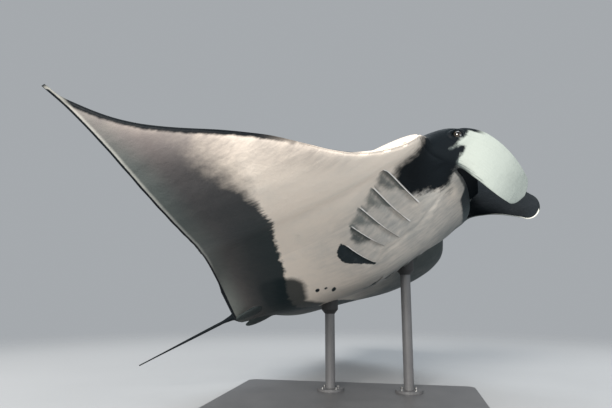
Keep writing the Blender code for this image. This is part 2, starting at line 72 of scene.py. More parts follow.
# Heights of the back and of the belly along the middle, and half the wing's thickness along the span.
back_line = ((-0.43, 0.001), (-0.40, 0.007), (-0.35, 0.019), (-0.28, 0.035), (-0.20, 0.047),
             (-0.12, 0.052), (-0.06, 0.051), (-0.03, 0.047), (-0.012, 0.037))
belly_line = ((-0.43, -0.024), (-0.40, -0.028), (-0.35, -0.037), (-0.28, -0.047), (-0.20, -0.055),
              (-0.12, -0.043), (-0.08, -0.033), (-0.044, -0.022))
wing_half = ((0.0, 0.021), (0.10, 0.019), (0.16, 0.0145), (0.26, 0.0088), (0.38, 0.0046),
             (0.46, 0.0022), (0.5, 0.0012))
edge_half = 0.0011
wing_rise = 0.022
belly_reach = ((-0.43, 0.055), (-0.33, 0.180), (-0.22, 0.185), (-0.17, 0.165), (-0.13, 0.150))
hollow_depth, hollow_side, hollow_width = 0.4, 0.145, 0.035
mouth_level, mouth_corner, mouth_depth, mouth_gap = 0.006, 0.086, 0.085, 0.020
lip = 0.004
front_bulge, rear_bulge = 0.010, 0.004
half_stations, back_rows, rear_rows, belly_rows, front_rows = 330, 150, 8, 300, 76
BACK, REAR, BELLY, FRONT = 1.0, 2.0, 3.0, 4.0


def curve(points, t):
    """Smooth curve through (t, value) points."""
    grid, value = np.array(points, float).T
    slope = np.gradient(value, grid)
    t = np.clip(t, grid[0], grid[-1])
    i = np.clip(np.searchsorted(grid, t) - 1, 0, len(grid) - 2)
    step = grid[i + 1] - grid[i]
    q = (t - grid[i]) / step
    start = (2 * q**3 - 3 * q**2 + 1) * value[i] + (q**3 - 2 * q**2 + q) * step * slope[i]
    return start + (3 * q**2 - 2 * q**3) * value[i + 1] + (q**3 - q**2) * step * slope[i + 1]


def ease(start, end, t):
    q = np.clip((t - start) / (end - start), 0, 1)
    return q * q * (3 - 2 * q)


def foil(chord):
    """Thickness along the chord of a symmetrical wing section, 1 where it is thickest."""
    c = np.clip(chord, 0, 1)
    return (0.2969 * np.sqrt(c) - 0.126 * c - 0.3516 * c**2 + 0.2843 * c**3 - 0.1015 * c**4) / 0.05


def skin_height(x, side, chord, upper):
    """Height of the back or the belly, which runs from the deep middle out into the wing."""
    half = edge_half + (curve(wing_half, side) - edge_half) * foil(chord)
    hollow = hollow_depth * np.exp(-((side - hollow_side) / hollow_width)**2) * ease(-0.21, -0.15, x)
    rise = wing_rise * (1 - ease(0.10, 0.26, side)) * (1 - 0.6 * np.clip(chord, 0, 1))
    middle = curve(back_line if upper else belly_line, x)
    crown = 1 - (0.16 if upper else 0.75) * np.clip(side / 0.1, 0, 1)**2 * ease(-0.14, -0.06, x)
    start = 0.10 - 0.10 * ease(-0.04, -0.15, x)
    end = 0.185 - 0.130 * ease(-0.33, -0.43, x) if upper else curve(belly_reach, x)
    wing = rise + (0.5 * half if upper else -0.7 * half * (1 - hollow))
    return middle * crown + (wing - middle * crown) * ease(start, end, side)


def station_spread(count):
    """Places of the stations along the outline: even along the edge, and closer on the head."""
    fine = np.linspace(0, 1, 4001)
    knots = np.linspace(0, 1, len(outline))
    x, side = (curve(np.stack([knots, outline[:, k]], 1), fine) for k in (1, 2))
    step = np.hypot(np.diff(x), np.diff(side)) * (1 + 1.8 * ease(0.18, 0.13, side[1:]))
    run = np.append(0, np.cumsum(step))
    return np.interp(np.linspace(0, run[-1], count), run, fine)


def front_rim(top, bottom, outward):
    """Rows from the belly's front edge up to the back's: a rounded edge, or the lips and the mouth."""
    rows = np.linspace(0, 1, front_rows + 2)[1:-1]
    q = rows[None, :, None]
    bulge = np.minimum(0.5 * np.linalg.norm(top - bottom, axis=-1), front_bulge)[:, None, None]
    wall = bottom[:, None] + (top - bottom)[:, None] * (1 - np.cos(pi * q)) / 2
    wall = wall + outward[:, None] * bulge * np.sin(pi * q)

    side = np.abs(top[:, 1])
    open_part = np.sqrt(np.clip(1 - (side / mouth_corner)**2, 0, 1))
    half_gap = mouth_gap / 2 * open_part + 0.001
    inner = np.minimum(top[:, 0], bottom[:, 0]) - mouth_depth * open_part
    floor, roof = mouth_level - half_gap, mouth_level + half_gap
    path = (
        (0.00, bottom[:, 0], bottom[:, 2]),
        (0.09, bottom[:, 0] + lip, bottom[:, 2] + 0.3 * (floor - bottom[:, 2])),
        (0.18, bottom[:, 0] + lip / 2, floor - edge_half),
        (0.26, bottom[:, 0] - 2.5 * lip * open_part, floor),
        (0.44, inner, floor),
        (0.50, inner - lip, np.full_like(floor, mouth_level)),
        (0.56, inner, roof),
        (0.74, top[:, 0] - 2.5 * lip * open_part, roof),
        (0.82, top[:, 0] + lip / 2, roof + edge_half),
        (0.91, top[:, 0] + lip, top[:, 2] + 0.3 * (roof - top[:, 2])),
        (1.00, top[:, 0], top[:, 2]),
    )
    stops, path_x, path_z = zip(*path)
    mouth = np.empty((len(top), len(rows), 3))
    for i in range(len(top)):
        mouth[i, :, 0] = curve(np.stack([stops, [x[i] for x in path_x]], 1), rows)
        mouth[i, :, 1] = bottom[i, 1] + (top[i, 1] - bottom[i, 1]) * rows
        mouth[i, :, 2] = curve(np.stack([stops, [z[i] for z in path_z]], 1), rows)
    shut = ease(mouth_corner - 0.010, mouth_corner, side)[:, None, None]
    inside = (ease(0.12, 0.24, rows) * ease(0.88, 0.76, rows))[None] * (1 - shut[..., 0])
    return mouth + (wall - mouth) * shut, inside


def body_rings():
    """A closed ring of points for each station, each ring place's kind, and how far in the mouth."""
    u = station_spread(half_stations + 1)
    knots = np.linspace(0, 1, len(outline))
    top_x, bottom_x, side, side_behind = (curve(np.stack([knots, column], 1), u) for column in outline.T)
    side[0] = side_behind[0] = 0

    def sheet(front_x, count, upper):
        even = np.linspace(0, 1, 1001)
        rows = 0.35 * (1 - np.cos(pi * even)) / 2 + 0.65 * even
        if not upper:
            close = 1 + 2.2 * ease(0.08, 0.16, rows) * ease(0.62, 0.52, rows)
            run = np.append(0, np.cumsum(close[1:]) / close[1:].sum())
            rows = np.interp(even, run, rows)
        rows = np.interp(np.linspace(0, 1, count), even, rows)
        x = front_x[:, None] + (curve(rear_edge, side_behind) - front_x)[:, None] * rows
        y = side[:, None] + (side_behind - side)[:, None] * rows
        return np.stack([x, y, skin_height(x, y, rows[None] + 0 * x, upper)], -1)

    back, belly = sheet(top_x, back_rows, True), sheet(bottom_x, belly_rows, False)
    along = np.gradient((back[:, 0] + belly[:, 0]) / 2, axis=0)
    outward = np.stack([along[:, 1], -along[:, 0], 0 * along[:, 0]], -1)
    outward /= np.linalg.norm(outward, axis=1)[:, None]
    front, inside = front_rim(back[:, 0], belly[:, 0], outward)
    turn = (np.arange(1, rear_rows + 1) / (rear_rows + 1))[None, :, None]
    first, last = back[:, -1][:, None], belly[:, -1][:, None]
    bulge = np.minimum(0.5 * np.linalg.norm(first - last, axis=-1), rear_bulge)[..., None]
    rear = first + (last - first) * (1 - np.cos(pi * turn)) / 2
    rear = rear - np.array([1, 0, 0]) * bulge * np.sin(pi * turn)
    half = np.concatenate([back, rear, belly[:, ::-1], front], 1)
    rings = np.concatenate([half[:0:-1] * np.array([1, -1, 1]), half])
    kind = np.repeat([BACK, REAR, BELLY, FRONT], [back_rows, rear_rows, belly_rows, front_rows])
    mouth = np.zeros(half.shape[:2])
    mouth[:, -front_rows:] = inside
    return rings, np.broadcast_to(kind, rings.shape[:2]), np.concatenate([mouth[:0:-1], mouth])


def ring_faces(count, size):
    """Quads between each ring of a loft and the next, and a cap at each end."""
    i, j = np.meshgrid(np.arange(count - 1), np.arange(size), indexing="ij")
    a, b = i * size + j, i * size + (j + 1) % size
    quads = np.stack([a, b, b + size, a + size], -1).reshape(-1, 4).tolist()
    return [*quads, tuple(range(size)), tuple(reversed(range((count - 1) * size, count * size)))]


def new_piece(name, points, faces):
    mesh = bpy.data.meshes.new(name)
    mesh.from_pydata(np.reshape(points, (-1, 3)).tolist(), [], faces)
    piece = bpy.data.objects.new(name, mesh)
    bpy.context.scene.collection.objects.link(piece)
    return piece


def face_outward(mesh):
    bm = bmesh.new()
    bm.from_mesh(mesh)
    bmesh.ops.recalc_face_normals(bm, faces=bm.faces)
    bm.to_mesh(mesh)
    bm.free()


def give(mesh, name, values):
    """Stores a number, or a vector, for each vertex."""
    values = np.asarray(values, np.float32)
    vector = values.ndim == 2
    layer = mesh.attributes.new(name, "FLOAT_VECTOR" if vector else "FLOAT", "POINT")
    layer.data.foreach_set("vector" if vector else "value", values.ravel())


rings, kind, mouth_inside = body_rings()
body = new_piece("manta_skin", rings, ring_faces(*rings.shape[:2]))
face_outward(body.data)
give(body.data, "kind", kind.ravel())
give(body.data, "inside", mouth_inside.ravel())
give(body.data, "fin", np.zeros((kind.size, 3)))
give(body.data, "rim", np.zeros(kind.size))

# ---- The head fins ----
# Two fleshy paddles of cartilage rays and skin that funnel food to the mouth, grown from the head's
# front corners. Each is lofted between its two long edges, thick at the root and thin at the round tip.

# The long edges' control points, as if both fins were on the left, and how far the tip bulges.
head_fins = {
    -1: dict(
        upper=((-0.0115, 0.0994, 0.032), (0.0176, 0.0941, 0.0068), (0.025, 0.071, -0.0325),
               (0.034, 0.0265, -0.037)),
        lower=((-0.050, 0.087, -0.008), (-0.036, 0.092, -0.037), (-0.032, 0.085, -0.064),
               (-0.012, 0.046, -0.068)),
        bulge=0.91),
    1: dict(
        upper=((-0.006, 0.1018, 0.044), (0.0170, 0.1090, 0.0780), (0.0500, 0.1000, 0.0220),
               (0.053, 0.065, -0.028)),
        lower=((-0.050, 0.087, -0.008), (-0.013, 0.083, -0.010), (0.002, 0.061, -0.040),
               (0.014, 0.039, -0.064)),
        bulge=0.95),
}
fin_root_half, fin_tip_half, fin_sunk = 0.0065, 0.0016, 0.10
fin_curl = (-0.020, -0.008, -0.009)  # how far a root's sunk upper edge curls back into the head
fin_rings, fin_tip_rings, fin_around = 110, 26, 120
HEAD_FIN = 5.0


def bezier(points, t):
    a, b, c, d = np.array(points, float)
    t = t[:, None]
    return (1 - t)**3 * a + 3 * (1 - t)**2 * t * b + 3 * (1 - t) * t**2 * c + t**3 * d


def head_fin(sign, shape):
    """The paddle, with each point's share of the length, place across, and face: outer 1, inner -1."""
    t = np.linspace(-fin_sunk, 1, fin_rings)
    upper, lower = bezier(shape["upper"], t), bezier(shape["lower"], t)
    upper = upper + np.array(fin_curl) * np.clip(-t / fin_sunk, 0, 1)[:, None]**2
    ahead = upper[-1] - upper[-2] + lower[-1] - lower[-2]
    ahead /= np.linalg.norm(ahead)
    middle, half = (upper[-1] + lower[-1]) / 2, (upper[-1] - lower[-1]) / 2
    turns_tip = np.radians(np.linspace(0, 86, fin_tip_rings + 1)[1:])
    reach = middle + ahead * np.linalg.norm(half) * shape["bulge"] * np.sin(turns_tip)[:, None]
    upper = np.concatenate([upper, reach + half * np.cos(turns_tip)[:, None]])
    lower = np.concatenate([lower, reach - half * np.cos(turns_tip)[:, None]])
    centre, width = (upper + lower) / 2, (upper - lower) / 2
    normal = np.cross(np.gradient(centre, axis=0), width)
    normal /= np.linalg.norm(normal, axis=1)[:, None]
    run = np.append(0, np.cumsum(np.linalg.norm(np.diff(centre, axis=0), axis=1)))
    along = run / run[-1]
    thick = fin_root_half + (fin_tip_half - fin_root_half) * ease(0, 0.75, along)
    thick = np.minimum(thick, np.linalg.norm(width, axis=1) * 0.5)
    turns = 2 * pi * (np.arange(fin_around) + 0.5) / fin_around
    across = np.sign(np.cos(turns)) * np.abs(np.cos(turns))**0.8
    face = np.sin(turns)
    rings = centre[:, None] + width[:, None] * across[None, :, None]
    rings = rings + normal[:, None] * (thick[:, None] * face)[..., None]
    rings = rings * np.array([1, sign, 1])
    piece = new_piece(f"head_fin_{'left' if sign > 0 else 'right'}", rings, ring_faces(*rings.shape[:2]))
    face_outward(piece.data)
    places = np.stack(np.broadcast_arrays(along[:, None], across, face), -1).reshape(-1, 3)
    tip = np.append(np.zeros(fin_rings), turns_tip)[:, None]
    inward = 1 - np.sqrt(np.sin(tip)**2 + (np.cos(tip) * across)**2)
    width_there = np.linalg.norm(width[:fin_rings], axis=1)
    width_there = np.append(width_there, np.full(fin_tip_rings, np.linalg.norm(half)))
    give(piece.data, "kind", np.full(len(places), HEAD_FIN))
    give(piece.data, "inside", np.zeros(len(places)))
    give(piece.data, "fin", places)
    give(piece.data, "rim", (inward * width_there[:, None]).ravel())
    return piece


growths = [head_fin(sign, shape) for sign, shape in head_fins.items()]

# ---- The tail and the small fins ----
# The tail leaves the rear edge as a thick root and thins at once to a stiff whip. A small dorsal fin
# stands on its root, and two pelvic lobes lie against the belly beside the vent.

tail_end, tail_root, tail_thin, tail_tip = -0.600, 0.0052, 0.0023, 0.0009
tail_level, tail_swell, tail_whip = -0.012, -0.428, -0.452
tail_sunk, tail_neck, tail_neck_front = 0.020, -0.427, -0.407
tail_rings, tail_around = 150, 40
dorsal_rings, dorsal_around, pelvic_rings, pelvic_around = 60, 48, 60, 64
dorsal_front, dorsal_back, dorsal_height, dorsal_half = -0.375, -0.422, 0.024, 0.0022
dorsal_leading = ((-0.4, 0.0), (0.0, 0.0), (0.55, 0.45), (0.9, 0.74), (1.0, 0.90))
dorsal_trailing = ((-0.4, 0.9), (0.3, 0.98), (0.86, 1.0), (0.96, 0.98), (1.0, 0.93))
pelvic_place, pelvic_size = (-0.394, 0.0165), (0.028, 0.0115, 0.0030)
TAIL, DORSAL_FIN, PELVIC_FIN = 6.0, 7.0, 8.0


def small_part(name, rings, kind):
    piece = new_piece(name, rings, ring_faces(*rings.shape[:2]))
    face_outward(piece.data)
    count = len(piece.data.vertices)
    give(piece.data, "kind", np.full(count, kind))
    give(piece.data, "inside", np.zeros(count))
    give(piece.data, "fin", np.zeros((count, 3)))
    give(piece.data, "rim", np.zeros(count))
    return piece


def tail():
    x = np.linspace(float(curve(rear_edge, 0)) + tail_sunk, tail_end, tail_rings)[:, None]
    radius = tail_root + (tail_thin - tail_root) * ease(tail_swell, tail_whip, x)
    radius = radius + (tail_tip - tail_thin) * ease(tail_whip, tail_end, x)
    radius = radius * (1 - 0.35 * ease(tail_neck, tail_neck_front, x))
    turns = 2 * pi * np.arange(tail_around) / tail_around
    y, z = radius * np.cos(turns), tail_level + radius * np.sin(turns)
    return small_part("tail_skin", np.stack(np.broadcast_arrays(x, y, z), -1), TAIL)


def dorsal_fin():
    heights = np.linspace(-0.4, 1, dorsal_rings)[:, None]
    leading, trailing = curve(dorsal_leading, heights), curve(dorsal_trailing, heights)
    turns = 2 * pi * (np.arange(dorsal_around) + 0.5) / dorsal_around
    share = (1 - np.cos(turns)) / 2
    along = leading + (trailing - leading) * share
    half = dorsal_half * (1 - 0.75 * np.clip(heights, 0, 1)) * np.sin(turns) * (1 - 0.5 * share)
    level, ahead = (float(skin_height(np.array(x), np.array(0.0), np.array(c), True))
                    for x, c in ((dorsal_back, 1.0), (dorsal_front, 0.9)))
    x = dorsal_front + (dorsal_back - dorsal_front) * along
    z = level + (ahead - level) * (1 - along) + dorsal_height * heights
    return small_part("dorsal_skin", np.stack(np.broadcast_arrays(x, half, z), -1), DORSAL_FIN)


def pelvic_fin(sign):
    """A leaf with a blunt root and a drawn-out rear corner."""
    x, side = pelvic_place
    belly = float(skin_height(np.array(x), np.array(side), np.array(0.95), False))
    polar = np.radians(np.linspace(2, 178, pelvic_rings))[:, None]
    turns = 2 * pi * np.arange(pelvic_around) / pelvic_around
    length, width, half = pelvic_size
    rings = np.stack(np.broadcast_arrays(
        x + length * np.cos(polar),
        side + width * np.sin(polar)**0.8 * np.cos(turns),
        belly + half * np.sin(polar) * np.sin(turns)), -1)
    return small_part(f"pelvic_skin_{sign}", rings * np.array([1, sign, 1]), PELVIC_FIN)


growths += [tail(), dorsal_fin(), pelvic_fin(-1), pelvic_fin(1)]

# ---- The skin ----
# One hide runs without a seam over the body and all that grows from it. The parts are joined, the hide
# is drawn smooth over each root, and its folds are raised: gill flaps, throat creases, lids and rays.

eye_place, eye_radius, eye_gaze = (-0.0290, 0.1004, 0.0235), 0.0078, (0.10, 1.0, -0.12)
lid_opening, lid_rise, lid_groove = (0.0066, 0.0050), 0.0011, 0.0009
eye_swelling, socket_depth = 0.0010, 0.0045
flap_rise, slit_depth, crease_depth, ray_height, vent_depth = 0.0018, 0.0036, 0.0010, 0.00012, 0.0022
# The throat's crease: x and distance from the middle.
throat_crease = ((-0.2006, 0.0290), (-0.1805, 0.0395), (-0.1575, 0.0413), (-0.1308, 0.0440),
                 (-0.1061, 0.0570), (-0.0840, 0.0656), (-0.0693, 0.0670))
# Each gill slit's inner and outer end: x and distance from the middle.
gill_slits = ((-0.1140, 0.0770, -0.1400, 0.162), (-0.1350, 0.0590, -0.1592, 0.131),
              (-0.1570, 0.0465, -0.1855, 0.122), (-0.1795, 0.0490, -0.2065, 0.106),
              (-0.2015, 0.0290, -0.2245, 0.083))


def join(body, growths):
    for piece in growths:
        union = body.modifiers.new(piece.name, "BOOLEAN")
        union.operation = "UNION"
        union.object = piece
        union.solver = "MANIFOLD"
    joined = bpy.data.meshes.new_from_object(body.evaluated_get(bpy.context.evaluated_depsgraph_get()))
    body.modifiers.clear()
    body.data = joined
    for piece in growths:
        bpy.data.objects.remove(piece, do_unlink=True)
    return joined


def read(mesh, name, width):
    values = np.empty(len(mesh.vertices) * width, np.float32)
    if name in ("co", "normal"):
        mesh.vertices.foreach_get(name, values)
    else:
        mesh.attributes[name].data.foreach_get("vector" if width > 1 else "value", values)
    return values.reshape(-1, width).astype(float) if width > 1 else values.astype(float)


class Net:
    """Which vertices of a mesh are joined by an edge, for spreading and smoothing values."""

    def __init__(self, ends, size):
        self.ends = ends
        self.size = size
        self.count = np.maximum(self.gather(np.ones(size)), 1)

    def gather(self, values):
        """The sum of each vertex's neighbours."""
        a, b = self.ends.T
        return np.bincount(a, values[b], self.size) + np.bincount(b, values[a], self.size)

    def mean(self, values):
        if values.ndim == 1:
            return self.gather(values) / self.count
        return np.stack([self.mean(column) for column in values.T], 1)

    def largest(self, values):
        """The largest value among each vertex's neighbours."""
        a, b = self.ends.T
        most = np.zeros(self.size)
        np.maximum.at(most, a, values[b])
        np.maximum.at(most, b, values[a])
        return most

    def spread(self, mask, rings):
        """1 on the mask, falling to 0 over that many rings of neighbours."""
        a, b = self.ends.T
        reach = mask.astype(float)
        for ring in range(rings):
            lit = reach > 0
            grown = lit.copy()
            grown[a[lit[b]]] = True
            grown[b[lit[a]]] = True
            reach[grown & ~lit] = 1 - (ring + 1) / (rings + 1)
        return reach

    def smooth(self, values, weight, rounds):
        """Draws each vertex towards its neighbours, where the weight is above 0."""
        ends = self.ends[(weight[self.ends] > 0).any(axis=1)]
        used, local = np.unique(ends, return_inverse=True)
        patch = Net(local.reshape(-1, 2), len(used))
        moved = values[used]
        share = 0.6 * weight[used][:, None]
        for _ in range(rounds):
            moved = moved + share * (patch.mean(moved) - moved)
        values = values.copy()
        values[used] = moved
        return values


def gill_line(x, side, slit):
    """How far behind one slit each point is, its place along it from 0 to 1, and its distance."""
    x_in, side_in, x_out, side_out = slit
    run = np.array((x_out - x_in, side_out - side_in))
    length = np.linalg.norm(run)
    share = ((x - x_in) * run[0] + (side - side_in) * run[1]) / length**2
    behind = -((x - x_in) * run[1] - (side - side_in) * run[0]) / length
    behind = behind - 0.0012 * np.sin(pi * np.clip(share, 0, 1))
    past = length * (np.clip(-share, 0, None) + np.clip(share - 1, 0, None))
    return behind, share, np.hypot(behind, past)


def gill_distances(x, side):
    """The same for the nearest slit."""
    lines = np.array([gill_line(x, side, slit) for slit in gill_slits])
    nearest = np.argmin(lines[:, 2], axis=0)
    return [np.take_along_axis(lines[:, k], nearest[None], 0)[0] for k in range(3)]


def folds(x, y, z, under, belly):
    """How far the hide stands out or in at each point, as a fraction of the disc width."""
    side = np.abs(y)
    height = np.zeros(x.shape)
    for slit in gill_slits:
        behind, along, _ = gill_line(x, side, slit)
        span = ease(-0.03, 0.12, along) * ease(1.03, 0.86, along) * belly
        span = span * (1 - 0.6 * (y > 0) * ease(0.100, 0.050, side))
        flap = flap_rise * ease(-0.015, -0.0005, behind)
        opening = -slit_depth * ease(0.013, 0.0015, behind)
        height += span * (flap + (opening - flap) * ease(-0.0009, 0.0009, behind))

    crease_side = curve(throat_crease, x)
    groove = np.exp(-((side - crease_side) / 0.0035)**2)
    crease = groove - 0.35 * np.exp(-((side - crease_side + 0.009) / 0.006)**2)
    height -= crease_depth * crease * ease(-0.215, -0.19, x) * ease(-0.075, -0.095, x) * belly

    rays = np.sin(side * 260 + x * 40) * ray_height * ease(0.16, 0.26, side) * ease(0.49, 0.40, side)
    vent = np.exp(-(y / 0.0016)**2) * ease(-0.404, -0.398, x) * ease(-0.380, -0.388, x) * under
    return height + rays - vent_depth * vent


def eye_folds(points, height):
    """A bony swelling round each eye, and two lid folds round an opening longer than it is high."""
    for sign in (-1, 1):
        away = points - np.array(eye_place) * (1, sign, 1)
        distance = np.linalg.norm(away, axis=1)
        near = (away[:, 1] * sign > 0) * ease(0.020, 0.016, distance)
        above = np.clip((away[:, 2] - 0.3 * away[:, 0]) / eye_radius, -1, 1)
        reach = np.hypot(away[:, 0] / lid_opening[0], (away[:, 2] + 0.0003) / lid_opening[1])
        opening = ease(1.10, 0.90, reach) * near
        height = height + eye_swelling * np.exp(-(distance / 0.018)**4) * (1 - above)
        height = height + lid_rise * (0.8 + 0.5 * above) * near * np.exp(-((reach - 1.32) / 0.20)**2)
        height = height - lid_groove * near * np.exp(-((reach - 1.95) / 0.18)**2)
        height = height + (-socket_depth - height) * opening
    return height


skin = join(body, growths)
ends = np.empty(len(skin.edges) * 2, np.int64)
skin.edges.foreach_get("vertices", ends)
net = Net(ends.reshape(-1, 2), len(skin.vertices))
flat = read(skin, "co", 3)
kind, inside, fin = read(skin, "kind", 1), read(skin, "inside", 1), read(skin, "fin", 3)
rim_distance = read(skin, "rim", 1)
# Cut edges have no kind yet: it comes from the largest round them, and the fin's places spread a little.
seam = kind < BACK - 0.5
known_rounds, fin_reach, head_back = 6, 14, -0.1
for _ in range(known_rounds):
    kind = np.where(seam & (kind == 0), net.largest(kind), kind)
    inside = np.where(seam & (inside == 0), net.mean(inside), inside)
known = fin.any(axis=1)
for _ in range(fin_reach):
    count = net.gather(known.astype(float))
    grown = np.stack([net.gather(column) for column in fin.T], 1) / np.maximum(count, 1)[:, None]
    fin = np.where((~known & (count > 0))[:, None], grown, fin)
    known = known | (count > 0)
skin.attributes["fin"].data.foreach_set("vector", fin.astype(np.float32).ravel())
root = seam & (flat[:, 0] > head_back)
for cut, reach, rounds in ((seam & ~root, 10, 40), (root, 26, 260)):
    flat = net.smooth(flat, net.spread(cut, reach), rounds)
rim = (np.abs(kind - FRONT) < 0.01) & (inside < 0.5)
rim_weight = 0.8 * net.spread(rim, 3) * ease(0.135, 0.105, np.abs(flat[:, 1])) * (kind < HEAD_FIN - 0.5)
flat = net.smooth(flat, rim_weight, 9)
skin.vertices.foreach_set("co", flat.ravel())
skin.update()
normal = read(skin, "normal", 3)
under = ease(-0.15, 0.15, -normal[:, 2]) * (1 - inside)
belly = under * (np.abs(kind - BELLY) < 0.5)
height = folds(*flat.T, under, belly) * (kind < HEAD_FIN - 0.5)
height = np.where(kind < HEAD_FIN + 0.5, eye_folds(flat, height), height)
flat = flat + normal * height[:, None]

# ---- The pose ----
# The still animal holds one beat of its swimming: the right wing raised high, the left wing level and
# twisted, nose up and banked. The flat skin is bent along each wing and turned as the solids are.

pivot = -0.22
bend_start, bend_middle, bend_tip = 0.085, 0.23, 0.36
right_wing = dict(root=-26.1, middle=74.4, middle_end=0.50, tip=0.0, sweep=0.015, twist=-1.7)
left_wing = dict(root=12.8, middle=6.8, middle_end=0.38, tip=-17.8, sweep=0.044, twist=-24.8)
nose_up, bank = 26.43, -18.97
pivot_at = np.array((0.05, 0.02, 1.0))


def bend_wing(points, wing, sign):
    """Bend one half about the body's long axis along its span, sweep its tip and twist it."""
    span = np.linspace(0, 0.5, 501)
    turn = np.radians(wing["root"]) * ease(bend_start, bend_middle, span)
    turn += np.radians(wing["middle"]) * ease(bend_middle, wing["middle_end"], span)
    turn += np.radians(wing["tip"]) * ease(bend_tip, 0.5, span)
    middle = (turn[1:] + turn[:-1]) / 2
    run = np.append(0, np.cumsum(np.cos(middle))) * span[1]
    rise = np.append(0, np.cumsum(np.sin(middle))) * span[1]
    x, y, z = points.T
    side = np.clip(np.abs(y), 0, 0.5)
    over = np.abs(y) - side
    angle = np.interp(side, span, turn)
    out = np.clip((side - 0.11) / 0.39, 0, 1)
    twist = np.radians(wing["twist"]) * out**1.3
    lift = (x - pivot) * np.sin(twist) + z
    return np.stack([
        pivot + (x - pivot) * np.cos(twist) - wing["sweep"] * out**2,
        sign * (np.interp(side, span, run) + over * np.cos(angle) - lift * np.sin(angle)),
        np.interp(side, span, rise) + over * np.sin(angle) + lift * np.cos(angle)], 1)


def place(points):
    """From the flat animal to the world: pose, scale, nose up, bank, and height over the stand."""
    points = np.asarray(points, float).reshape(-1, 3)
    posed = np.empty_like(points)
    left = points[:, 1] >= 0
    posed[left] = bend_wing(points[left], left_wing, 1)
    posed[~left] = bend_wing(points[~left], right_wing, -1)
    posed = (posed - np.array([pivot, 0, 0])) * disc_width
    turn = Matrix.Rotation(radians(-nose_up), 3, "Y") @ Matrix.Rotation(radians(bank), 3, "X")
    return posed @ np.array(turn).T + pivot_at


# A hair narrower than the solids, whose coarser facets cut the same curves short.
trimmed = 0.99994
skin.vertices.foreach_set("co", place(flat * trimmed).ravel())
skin.polygons.foreach_set("use_smooth", np.ones(len(skin.polygons), bool))
skin.update()

# ---- The markings ----
# A giant manta is black above with two white shoulders, and creamy white below with black trim: a
# smoky band along the wing's rear, patches behind the gills, black cheeks, and spots of its own.

# Outlines of the patches on the flat skin: x and distance from the middle.
band_front = ((-0.3374, -0.05), (-0.3374, 0.02), (-0.3178, 0.0714), (-0.3094, 0.0995), (-0.2993, 0.139),
              (-0.2747, 0.2284), (-0.2624, 0.314), (-0.2659, 0.3502), (-0.2716, 0.3748), (-0.2801, 0.4027),
              (-0.2904, 0.4265), (-0.3135, 0.4476), (-0.335, 0.52))
belly_blob = ((-0.36, -0.02), (-0.334, -0.024), (-0.3170, 0.0000), (-0.3100, 0.0250), (-0.3020, 0.0480),
              (-0.3100, 0.0640), (-0.330, 0.074), (-0.36, 0.07), (-0.37, 0.02))
# Behind each gill slit, from the first: a smoky patch, and a black blotch behind the last. Each runs a
# little ahead of its slit, where the flap cuts it off.
gill_patches = (
    ((-0.126, 0.160), (-0.1400, 0.1600), (-0.1518, 0.1450), (-0.1592, 0.1290), (-0.1439, 0.1105),
     (-0.1290, 0.1030), (-0.1180, 0.0960), (-0.112, 0.110)),
    ((-0.150, 0.138), (-0.1630, 0.1360), (-0.1760, 0.1300), (-0.1870, 0.1210), (-0.1748, 0.1070),
     (-0.1600, 0.0985), (-0.1480, 0.0900), (-0.140, 0.100)),
    ((-0.178, 0.130), (-0.1930, 0.1240), (-0.2050, 0.1180), (-0.2120, 0.1109), (-0.2030, 0.1010),
     (-0.1908, 0.0890), (-0.1747, 0.0770), (-0.165, 0.086)),
    ((-0.200, 0.114), (-0.2090, 0.1040), (-0.2200, 0.0880), (-0.2115, 0.0740), (-0.1968, 0.0650),
     (-0.185, 0.072)),
    ((-0.213, 0.098), (-0.2270, 0.0925), (-0.2344, 0.0880), (-0.2413, 0.0780), (-0.2429, 0.0646),
     (-0.2353, 0.0504), (-0.2205, 0.0420), (-0.2128, 0.0310), (-0.2040, 0.0255), (-0.196, 0.030),
     (-0.203, 0.070)),
)
gill_depths = (0.80, 0.74, 0.72, 0.86, 1.0)
cheek = ((0.05, 0.21), (-0.060, 0.21), (-0.0766, 0.1540), (-0.0770, 0.1410), (-0.0900, 0.1370),
         (-0.1080, 0.1360), (-0.1230, 0.1330), (-0.1310, 0.1180), (-0.1260, 0.1020), (-0.1150, 0.0930),
         (-0.1020, 0.0880), (-0.0860, 0.0815), (-0.0785, 0.0730), (-0.0650, 0.0770), (-0.0570, 0.0850),
         (-0.0524, 0.0905), (-0.045, 0.088), (-0.03, 0.085), (0.05, 0.085))
jaw_streak = ((-0.0771, 0.0702), (-0.0700, 0.0530), (-0.0640, 0.0570), (-0.0585, 0.0751), (-0.0570, 0.0840),
              (-0.066, 0.090), (-0.0760, 0.0830))
shoulder = ((-0.082, 0.060), (-0.078, 0.120), (-0.070, 0.150), (-0.050, 0.20), (-0.12, 0.32),
            (-0.165, 0.315), (-0.178, 0.250), (-0.172, 0.180), (-0.165, 0.120), (-0.150, 0.075),
            (-0.115, 0.048))
# The white of a head fin's outer face, seen from the side: x and height. A streak runs back from it.
fin_white_edge = ((-0.0480, 0.0062), (-0.0462, 0.0078), (-0.0368, 0.0109), (-0.0295, 0.0147),
                  (-0.0228, 0.0165), (-0.0159, 0.0210), (-0.0100, 0.0270), (0.03, 0.09), (0.2, 0.09),
                  (0.2, -0.09), (-0.045, -0.09), (-0.0475, -0.020), (-0.0496, -0.0072), (-0.0428, -0.0032),
                  (-0.0371, -0.0010), (-0.0322, 0.0019), (-0.0283, 0.0045), (-0.0307, 0.0072),
                  (-0.0350, 0.0072), (-0.0400, 0.0064))
# Belly spots: x, distance to the left, length and width.
belly_spots = ((-0.2935, -0.0185, 0.0052, 0.0034), (-0.2817, -0.0155, 0.0036, 0.0022),
               (-0.2735, -0.0030, 0.0082, 0.0032))


